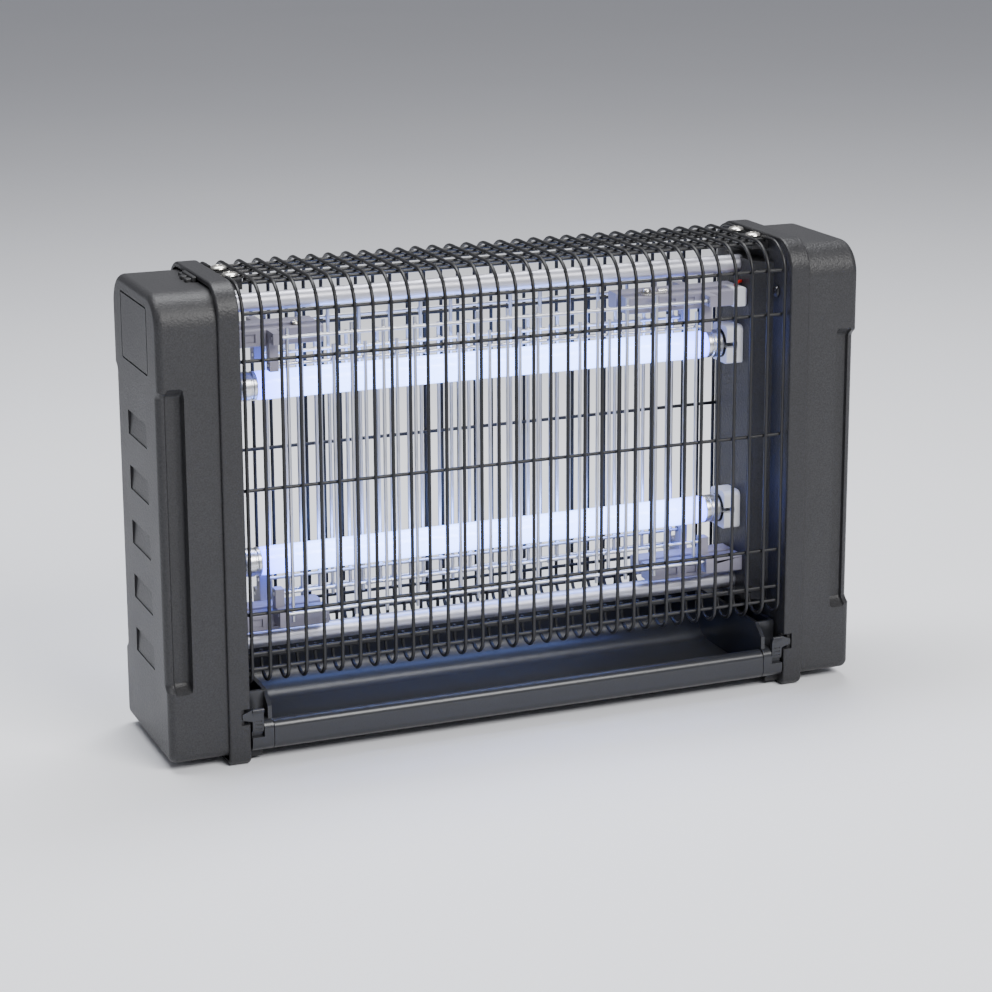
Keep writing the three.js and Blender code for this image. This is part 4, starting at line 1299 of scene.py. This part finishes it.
@dataclass
class Electrode:
    """One electrode: every other vertical wire, welded to two rods."""

    face: Face
    live: bool
    wire: float = 2.4
    thick: float = 2.8
    count: int = 14
    pitch: float = 18.0
    end_gap: float = 9.0
    bead: float = 1.75
    bead_half: float = 0.9

    def build(self) -> None:
        """Makes the electrode, drawn for the front and mirrored for the rear."""
        word = "live" if self.live else "return"
        low, high = node_box(f"front_grid_{word}")
        r = self.wire / 2
        wire_y = high.y - r if self.live else low.y + r
        rod_y = low.y + r if self.live else high.y - r
        inset = GRID.inset(self.live)
        first = low.x + self.end_gap + (0.0 if self.live else self.pitch / 2)
        line = [(first, wire_y, low.z), (first, wire_y, high.z)]
        wires = Rows.wires([line], self.thick, self.count, (self.pitch, 0, 0), Palette.GRID)
        heights = (low.z + inset, high.z - inset)
        lines = [bar_x(low.x, high.x, rod_y, z) for z in heights]
        rods = Rows.wires(lines, self.thick, 1, (0, 0, 0), Palette.GRID)
        beads = [self._beads(first, (wire_y + rod_y) / 2, z) for z in heights]
        grid = wires.gathered(rods, *beads)
        if self.face is Face.REAR:
            grid.reflected(1, -1)
        node = f"{self.face.word}_grid_{word}"
        grid.publish(f"grid_{self.face.word}_{word}", "root", Palette.GRID, [node], 50.0)

    def _beads(self, x: float, y: float, z: float) -> Solid:
        """Row of weld beads, where the wires cross a rod."""
        half = self.bead_half
        dome = [(-half, 0.3), (-0.5, 1.5), (0.0, self.bead), (0.5, 1.5), (half, 0.3)]
        bead = Solid.turned(Axis.Y, (x, z), [(y + depth, radius) for depth, radius in dome], 8)
        return Rows.solids(bead, self.count, (self.pitch, 0, 0), Palette.GRID)


@dataclass
class Insulator:
    """Moulded block with two clips that hold the rods of the two electrodes."""

    face: Face
    level: Level
    side: Side
    finger: float = 5.0
    finger_wall: float = 1.6
    rod: float = 2.4
    pocket_pitch: float = 12.0
    pocket_length: float = 6.0
    pocket_depth: float = 1.2
    pocket_edge: float = 2.4

    def build(self) -> None:
        """Makes the block, drawn for the front and mirrored for the rear."""
        node = f"insulator_front_{self.level.word}_{self.side.word}"
        low, high = node_box(node)
        z0 = GRID.upper_seat if self.level is Level.UPPER else GRID.lower_seat
        z1 = z0 + GRID.block_height
        outline = rounded_box((GRID.block_front, z0), (high.y, z1), (1.0, 1.0), 4)
        block = Solid.prism(outline, Axis.X, low.x, high.x)
        bore = self.rod / 2 + FIT
        clips, holes = [], []
        for x, y, z in self._rod_places():
            clips.append(self._clip(x, y, z, (z0 + z1) / 2, bore + self.finger_wall))
            hole = [(x - self.finger, bore), (x + self.finger, bore)]
            holes.append(Solid.turned(Axis.X, (y, z), hole, 20))
        block.join(*clips).cut(*holes, self._pockets(low.x, high.x, z0, z1)).eased(0.35)
        if self.face is Face.REAR:
            block.reflected(1, -1)
        name = f"block_{self.face.word}_{self.level.word}_{self.side.word}"
        node = node.replace("front", self.face.word)
        block.publish(name, "root", Palette.INSULATOR, [node])

    def _rod_places(self) -> list[tuple[float, float, float]]:
        """Where the clips hold the live rod and the return rod."""
        places = []
        live_low, live_high = node_box("front_grid_live")
        end = live_high.x if self.side is Side.RIGHT else live_low.x
        x = end - self.side.value * self.finger / 2
        for live in (True, False):
            low, high = node_box("front_grid_live" if live else "front_grid_return")
            y = low.y + self.rod / 2 if live else high.y - self.rod / 2
            inset = GRID.inset(live)
            z = high.z - inset if self.level is Level.UPPER else low.z + inset
            places.append((x, y, z))
        return places

    def _clip(self, x: float, y: float, z: float, block_z: float, wall: float) -> Solid:
        """Finger from the block to a rod."""
        block_y = GRID.block_front + 1
        low = (x - self.finger / 2, min(y - wall, block_y), min(z - wall, block_z))
        high = (x + self.finger / 2, max(y + wall, block_y), max(z + wall, block_z))
        return Solid.block(low, high)

    def _pockets(self, x0: float, x1: float, z0: float, z1: float) -> Solid:
        """Row of shallow pockets along the front of the block."""
        first, front, edge = x0 + self.pocket_pitch, GRID.block_front, self.pocket_edge
        pocket = Solid.block((first, front - 1, z0 + edge),
                             (first + self.pocket_length, front + self.pocket_depth, z1 - edge))
        count = int((x1 - first) // self.pocket_pitch) - 1
        return Rows.solids(pocket, max(count, 1), (self.pocket_pitch, 0, 0), Palette.INSULATOR)


@dataclass
class LeadBlock:
    """White terminal sleeve on the end of the front upper right insulator, with its lead."""

    start: float = 141.0
    end: float = 148.6
    wall: float = 0.7
    lead: float = 1.6

    def build(self) -> None:
        """Makes the sleeve and the lead."""
        rear = node_box("insulator_front_upper_right")[1].y
        foot, top = GRID.upper_seat - self.wall, GRID.upper_seat + GRID.block_height + self.wall
        low = (self.start, GRID.block_front - self.wall, foot)
        sleeve = Solid.block(low, (self.end, rear + self.wall, top))
        sleeve.eased(0.5, 3).publish("lead_sleeve_block", "root", Palette.HOLDER, [])
        x = (self.start + self.end) / 2
        route = [(x, -8.0, top - 0.5), (x, -8.0, top + 0.9), (x + 1.0, -7.6, top + 1.9),
                 (x + 2.6, -6.8, top + 2.3), (x + 5.0, -5.6, top + 2.2)]
        wire = Rows.wires([route], self.lead, 1, (0, 0, 0), Palette.LEAD, 10)
        wire.publish("lead_wire", "root", Palette.LEAD, [], 60.0)


# ---------------------------------------------------------------- tray


@dataclass
class CatchTray:
    """Pull-out tray: a trough, two ends and their spring latches."""

    wall: float = 1.8
    lip_round: float = 4.6
    lip_depth: float = 7.0
    foot_round: float = 5.0
    rear_round: float = 20.0
    lip_top: float = 22.8
    end_wall: float = 2.2
    cheek: float = 5.2
    apron_top: float = 14.8
    apron: float = 2.4
    pocket: float = 11.5
    pin: Point = (-40.5, 15.5)
    pin_radius: float = 1.2
    boss: float = 3.3
    lever: float = 3.0
    rib_pitch: float = 2.1

    def __post_init__(self) -> None:
        """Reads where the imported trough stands."""
        self.low, self.high = node_box("tray_pan")

    def build(self) -> None:
        """Makes the five pieces of the tray."""
        self._pan().publish("tray_trough", "tray", Palette.TRAY, ["tray_pan"])
        for side in Side:
            word = side.word
            end = self._end().reflected(side.value)
            end.publish(f"tray_side_{word}", "tray", Palette.TRAY, [f"tray_end_{word}"])
            latch = self._latch().reflected(side.value)
            latch.publish(f"tray_catch_{word}", f"latch_{word}", Palette.TRAY, [f"tray_latch_{word}"])

    def _pan(self) -> Solid:
        """Trough with a rolled front lip and a rear that curves up."""
        front, rear, foot, top = self.low.y, self.high.y, self.low.z, self.high.z
        curve = (rear - self.rear_round, foot + self.rear_round)
        outline = [
            *arc(curve, self.rear_round, -90, 0, 16),
            *arc((rear - self.wall / 2, top - self.wall / 2), self.wall / 2, 0, 180, 4),
            *arc(curve, self.rear_round - self.wall, 0, -90, 16),
            *arc((front + self.lip_depth + 2, foot + self.wall + 2), 2.0, 270, 180, 4),
            (front + self.lip_depth, self.lip_top - 2.0),
            *arc((front + self.lip_round, self.lip_top - self.lip_round), self.lip_round, 60, 180, 12),
            *arc((front + self.foot_round, foot + self.foot_round), self.foot_round, 180, 270, 8),
        ]
        return Solid.prism(outline, Axis.X, self.low.x, self.high.x).eased(0.25)

    def _end(self) -> Solid:
        """Right end: a moulded plate with a latch pocket and a pin."""
        low, high = node_box("tray_end_right")
        front, rear, foot, top = self.low.y, self.high.y, self.low.z, self.high.z
        pocket = front + self.pocket
        plate = Solid.prism([
            *arc((rear - self.rear_round, foot + self.rear_round), self.rear_round, -90, 0, 14),
            *arc((rear - 3, top - 3), 3.0, 0, 90, 5),
            (pocket, top),
            (pocket, foot),
        ], Axis.X, low.x, high.x)
        plate.cut(Solid.block((low.x + self.end_wall, pocket + 2, foot + self.end_wall),
                              (high.x - self.end_wall, rear - self.rear_round, top + 1)))
        nose = rounded_box((front, foot), (pocket + 1, 23.6), (self.foot_round, 5.2), 8)
        cheek = Solid.prism(nose, Axis.X, low.x, low.x + self.cheek)
        brow = [(front + 3.4, 20.0), (front + 3.8, 30.4), (pocket, top - 0.4),
                (pocket + 1, top - 0.4), (pocket + 1, 10.0)]
        cheek.join(Solid.prism(brow, Axis.X, low.x, low.x + self.end_wall))
        sill = Solid.block((low.x, front + 6, foot), (high.x, pocket + 1, foot + self.end_wall))
        skirt = rounded_box((front, foot), (pocket, 30.0), (self.foot_round, self.foot_round), 8)
        apron = Solid.prism(skirt, Axis.X, low.x + 1, high.x)
        apron.cut(Solid.block((low.x, front + self.apron, foot + self.end_wall), (high.x + 1, 0, 40)),
                  Solid.block((low.x, front - 1, self.apron_top), (high.x + 1, 0, 40)))
        end = plate.join(cheek, sill, apron).eased(0.5, 3)
        pin = [(low.x + 1, self.pin_radius), (high.x, self.pin_radius)]
        return end.join(Solid.turned(Axis.X, self.pin, pin, 20))

    def _latch(self) -> Solid:
        """Right latch: a lever on its pin, with a hook and a ribbed thumb pad."""
        low, high = node_box("tray_latch_right")
        end_low, end_high = node_box("tray_end_right")
        x0, x1 = end_low.x + self.cheek + FIT, end_high.x - FIT
        y0, y1 = low.y, low.y + self.lever
        foot, top = self.apron_top + 2.8, high.z
        profile = [(y0 + 0.6, foot), (y1, foot), (y1, top - 4.5), (y1 - 0.8, top - 2.0),
                   *arc((y0 - 0.5, top - 0.9), 0.9, 70, 250, 6), (y0, top - 4.0), (y0, foot + 2)]
        lever = Solid.prism(profile, Axis.X, x0, x1)
        wedge = [(x1 - 1, top - 7.5), (high.x, top - 5.6), (high.x, top - 2.6), (x1 - 1, top)]
        hook = Solid.prism(wedge, Axis.Y, y0, y1)
        web = Solid.block((x0, y0 + 2.4, self.pin[1] - 2), (x1, self.pin[0], foot + 2.5))
        boss = Solid.turned(Axis.X, self.pin, [(x0, self.boss), (x1, self.boss)], 28)
        latch = lever.join(hook, web, boss)
        bore = self.pin_radius + FIT
        latch.cut(Solid.turned(Axis.X, self.pin, [(x0 - 1, bore), (x1 + 1, bore)], 20))
        rib = Solid.block((x0 + 1.2, y0 - 1, foot + 1.6), (x1 - 1.2, y0 + 0.5, foot + 2.4))
        latch.cut(Rows.solids(rib, 3, (0, 0, self.rib_pitch), Palette.TRAY))
        return latch.eased(0.4, 3)


# ---------------------------------------------------------------- screws and small parts


@dataclass
class CrossScrew:
    """Pan-head screw with a cross recess, on the Z axis with its seat at zero."""

    head: float
    head_height: float
    shank: float
    length: float

    def solid(self) -> Solid:
        """Makes the screw."""
        r, h = self.head / 2, self.head_height
        crown = [(0.25 + 0.87 * h * math.sin(a), r - r * 0.55 * (1 - math.cos(a)))
                 for a in (0.5, 0.9, 1.25, 1.5)]
        profile = [
            (-self.length, self.shank * 0.2),
            (-self.length + 1.0, self.shank / 2),
            (0.0, self.shank / 2),
            (0.0, r - 0.2),
            (0.2, r),
            *crown,
            (h, r * 0.3),
            (h, 0.0),
        ]
        screw = Solid.turned(Axis.Z, (0.0, 0.0), profile, 36)
        arm, wide = r * 0.56, r * 0.15
        for a, b in ((arm, wide), (wide, arm)):
            rings = [ring([(-a * k, -b * k), (a * k, -b * k), (a * k, b * k), (-a * k, b * k)], Axis.Z, z)
                     for z, k in ((h * 0.1, 0.55), (h + 0.3, 1.0))]
            screw.cut(Solid.through(rings))
        return screw


@dataclass
class Fasteners:
    """Guard screws, cap screws, terminal screws, ring terminal and snap catch."""

    head_height: float = 1.8
    ring_radius: float = 4.5
    ring_tail: float = 3.0
    catch_foot: float = 4.6

    def build(self) -> None:
        """Makes every fastener."""
        self._guard_screws()
        self._cap_screws()
        self._terminals()
        self._ring_lug()
        self._snap_catch()

    def _guard_screws(self) -> None:
        """Four screws through the guard lugs, two and two."""
        low, high = node_box("guard_screw_front_left")
        x, y = (low.x + high.x) / 2, (low.y + high.y) / 2
        seat = high.z - self.head_height
        screw = CrossScrew(high.x - low.x, self.head_height, 4.0, seat - low.z)
        one = screw.solid().moved(x, y, seat)
        across = Rows.solids(one, 2, (-2 * x, 0, 0), Palette.STEEL)
        deep = Rows.solids(across, 2, (0, -2 * y, 0), Palette.STEEL)
        nodes = [f"guard_screw_{face.word}_{side.word}" for face in Face for side in Side]
        deep.publish("guard_screws", "root", Palette.STEEL, nodes, 30.0)

    def _cap_screws(self) -> None:
        """Two screws through each frame into the posts of its cap."""
        for side in Side:
            screws = []
            for level in Level:
                low, high = node_box(f"cap_screw_{level.word}_right")
                seat = low.x + self.head_height
                screw = CrossScrew(6.4, self.head_height, 3.2, high.x - seat).solid()
                screw.thing.data.transform(Matrix.Rotation(math.radians(-90), 4, "Y"))
                screws.append(screw.moved(seat, (low.y + high.y) / 2, (low.z + high.z) / 2))
            pair = screws[0].gathered(screws[1]).reflected(side.value)
            nodes = [f"cap_screw_{level.word}_{side.word}" for level in Level]
            pair.publish(f"cap_screws_{side.word}", "root", Palette.DARK_STEEL, nodes, 30.0)

    def _terminals(self) -> None:
        """Screws on the front upper insulators."""
        for side in Side:
            node = f"terminal_screw_{side.word}"
            low, high = node_box(node)
            screw = CrossScrew(5.4, high.z - low.z, 3.0, 0.2).solid()
            screw.moved((low.x + high.x) / 2, (low.y + high.y) / 2, low.z)
            screw.publish(f"terminal_{side.word}", "root", Palette.STEEL, [node], 30.0)

    def _ring_lug(self) -> None:
        """Ring terminal with its tail and crimp, under a terminal screw."""
        low, high = node_box("ring_terminal")
        r, half = self.ring_radius, self.ring_tail / 2
        x, y = low.x + r, (low.y + high.y) / 2
        eye = Solid.turned(Axis.Z, (x, y), [(low.z, r), (high.z, r)], 32)
        tail = Solid.block((x, y - half, low.z), (high.x, y + half, high.z))
        crimp = Solid.turned(Axis.X, (y, high.z + 0.2), [(high.x - 5, 1.6), (high.x, 1.6)], 20)
        eye.join(tail, crimp).eased(0.15).publish("ring_lug", "root", Palette.STEEL, ["ring_terminal"])

    def _snap_catch(self) -> None:
        """Rail beside the band, with two tongues and the peg, on top of the left cap."""
        low, high = node_box("snap_peg")
        peg = Solid.block(low, high + Vector((0, 0, 0.6))).eased(0.5, 3)
        top = node_box("left_end_cap")[1].z
        rail = Solid.block((-174.4, -10.0, top - 3.0), (-171.95, 10.0, top + 2.9)).eased(0.5, 3)
        tongues = []
        for y in (-9.0, -1.0):
            tongue = Solid.block((-177.6, y, top - 0.4), (-173.4, y + self.catch_foot, top + 1.9))
            tongues.append(tongue.eased(0.7, 3))
        peg.gathered(rail, *tongues).publish("snap_catch", "root", Palette.FRAME, ["snap_peg"])


class Electrics:
    """Parts inside the caps, and the mains gland."""

    FINISHES = {
        "ballast_board": Palette.BOARD,
        "high_voltage_board": Palette.BOARD,
        "ballast_choke": Palette.COPPER,
        "ballast_capacitor": Palette.BLACK,
        "high_voltage_transformer": Palette.BLACK,
        "high_voltage_capacitor_front": Palette.BLACK,
        "high_voltage_capacitor_rear": Palette.BLACK,
        "mains_terminal_block": Palette.HOLDER,
        "gland_nut": Palette.BLACK,
    }
    FLANGE = 1.6
    BORE = 3.25

    def build(self) -> None:
        """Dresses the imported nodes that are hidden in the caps, and makes the gland."""
        for name, finish in self.FINISHES.items():
            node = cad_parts[name]
            node.data.materials.clear()
            node.data.materials.append(Palette.material(finish))
            LOG.info("%s keeps its packed shape", name)
        self._gland()

    def _gland(self) -> None:
        """Mains gland: a bushing with a flange, and a flared bore for the cord."""
        low, high = node_box("cable_gland")
        x, z = (low.x + high.x) / 2, (low.z + high.z) / 2
        face = high.y - self.FLANGE
        profile = [(low.y, 4.7), (low.y + 0.4, 5.0), (face, 5.0), (face, 7.9), (face + 0.2, 8.0),
                   (high.y - 0.5, 7.8), (high.y, 7.0)]
        gland = Solid.turned(Axis.Y, (x, z), profile, 40)
        bore = [(low.y - 1, self.BORE), (high.y - 0.6, self.BORE), (high.y + 1, 4.6)]
        gland.cut(Solid.turned(Axis.Y, (x, z), bore, 32))
        gland.publish("mains_gland", "root", Palette.BLACK, ["cable_gland"])


# ---------------------------------------------------------------- studio


@dataclass(frozen=True)
class SoftLight:
    """Rectangular soft light aimed at a point, in metres."""

    name: str
    place: tuple[float, float, float]
    size: Point
    power: float
    colour: Colour
    aim: tuple[float, float, float] = (0.0, 0.0, 0.13)

    def build(self) -> None:
        """Adds the light."""
        lamp = bpy.data.lights.new(self.name, "AREA")
        lamp.shape = "RECTANGLE"
        lamp.size, lamp.size_y = self.size
        lamp.energy = self.power
        lamp.color = self.colour
        light = bpy.data.objects.new(self.name, lamp)
        light.location = self.place
        toward = Vector(self.aim) - Vector(self.place)
        light.rotation_euler = toward.to_track_quat("-Z", "Y").to_euler()
        bpy.context.scene.collection.objects.link(light)


@dataclass(frozen=True)
class Viewpoint:
    """Camera that looks at a target from an azimuth and an elevation, in metres and degrees."""

    target: tuple[float, float, float] = (0.0209, 0.0, 0.162)
    azimuth: float = -22.68
    elevation: float = 13.87
    roll: float = -0.09
    distance: float = 1.5125
    lens: float = 97.76
    shift: Point = (-0.034, -0.077)

    def build(self) -> None:
        """Adds the camera and makes it the scene's."""
        a, e, t = (math.radians(v) for v in (self.azimuth, self.elevation, self.roll))
        back = Vector((math.sin(a) * math.cos(e), -math.cos(a) * math.cos(e), math.sin(e)))
        right = (-back).cross(Vector((0, 0, 1))).normalized()
        up = right.cross(-back)
        right, up = right * math.cos(t) + up * math.sin(t), up * math.cos(t) - right * math.sin(t)
        data = bpy.data.cameras.new("camera")
        data.lens = self.lens
        data.sensor_width = 36.0
        data.shift_x, data.shift_y = self.shift
        data.clip_start, data.clip_end = 0.05, 100.0
        camera = bpy.data.objects.new("camera", data)
        turn = Matrix((right, up, back)).transposed().to_4x4()
        camera.matrix_world = Matrix.Translation(Vector(self.target) + back * self.distance) @ turn
        bpy.context.scene.collection.objects.link(camera)
        bpy.context.scene.camera = camera


@dataclass
class Studio:
    """Floor, lights, surroundings and camera."""

    floor_half: float = 30.0
    surround: Colour = (0.86, 0.87, 0.93)
    surround_strength: float = 0.32

    def build(self) -> None:
        """Adds the stage."""
        self._floor()
        SoftLight("key", (0.5, -1.7, 1.5), (1.2, 0.9), 60.0, (1.0, 0.99, 0.97)).build()
        SoftLight("fill", (-1.7, -0.9, 0.9), (1.0, 1.0), 0.5, (0.93, 0.95, 1.0)).build()
        SoftLight("top", (-0.1, 0.35, 1.5), (1.6, 0.5), 34.0, (0.97, 0.98, 1.0)).build()
        Viewpoint().build()
        world = bpy.data.worlds.new("surround")
        world.use_nodes = True
        sky = world.node_tree.nodes["Background"]
        sky.inputs["Color"].default_value = (*self.surround, 1.0)
        sky.inputs["Strength"].default_value = self.surround_strength
        bpy.context.scene.world = world

    def _floor(self) -> None:
        """Large pale floor under the unit."""
        mesh = bpy.data.meshes.new("floor")
        h = self.floor_half
        mesh.from_pydata([(-h, -h, 0), (h, -h, 0), (h, h, 0), (-h, h, 0)], [], [(0, 1, 2, 3)])
        mesh.materials.append(PaleFloor("floor_paint", (0.88, 0.89, 0.93)).build())
        floor = bpy.data.objects.new("floor", mesh)
        floor.location.z = -0.0002
        bpy.context.scene.collection.objects.link(floor)


def main() -> None:
    """Builds the unit and the studio."""
    logging.basicConfig(level=logging.INFO, format="%(name)s: %(message)s", stream=sys.stdout)
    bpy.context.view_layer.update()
    Studio().build()
    for side in Side:
        EndHousing(side).build()
    for face in Face:
        WireGuard(face).build()
    for level in Level:
        Lamp(level).build()
        TieBar(level).build()
    for face in Face:
        for live in (True, False):
            Electrode(face, live).build()
        for level in Level:
            for side in Side:
                Insulator(face, level, side).build()
    LeadBlock().build()
    CatchTray().build()
    Fasteners().build()
    Electrics().build()


if __name__ == "__main__":
    main()
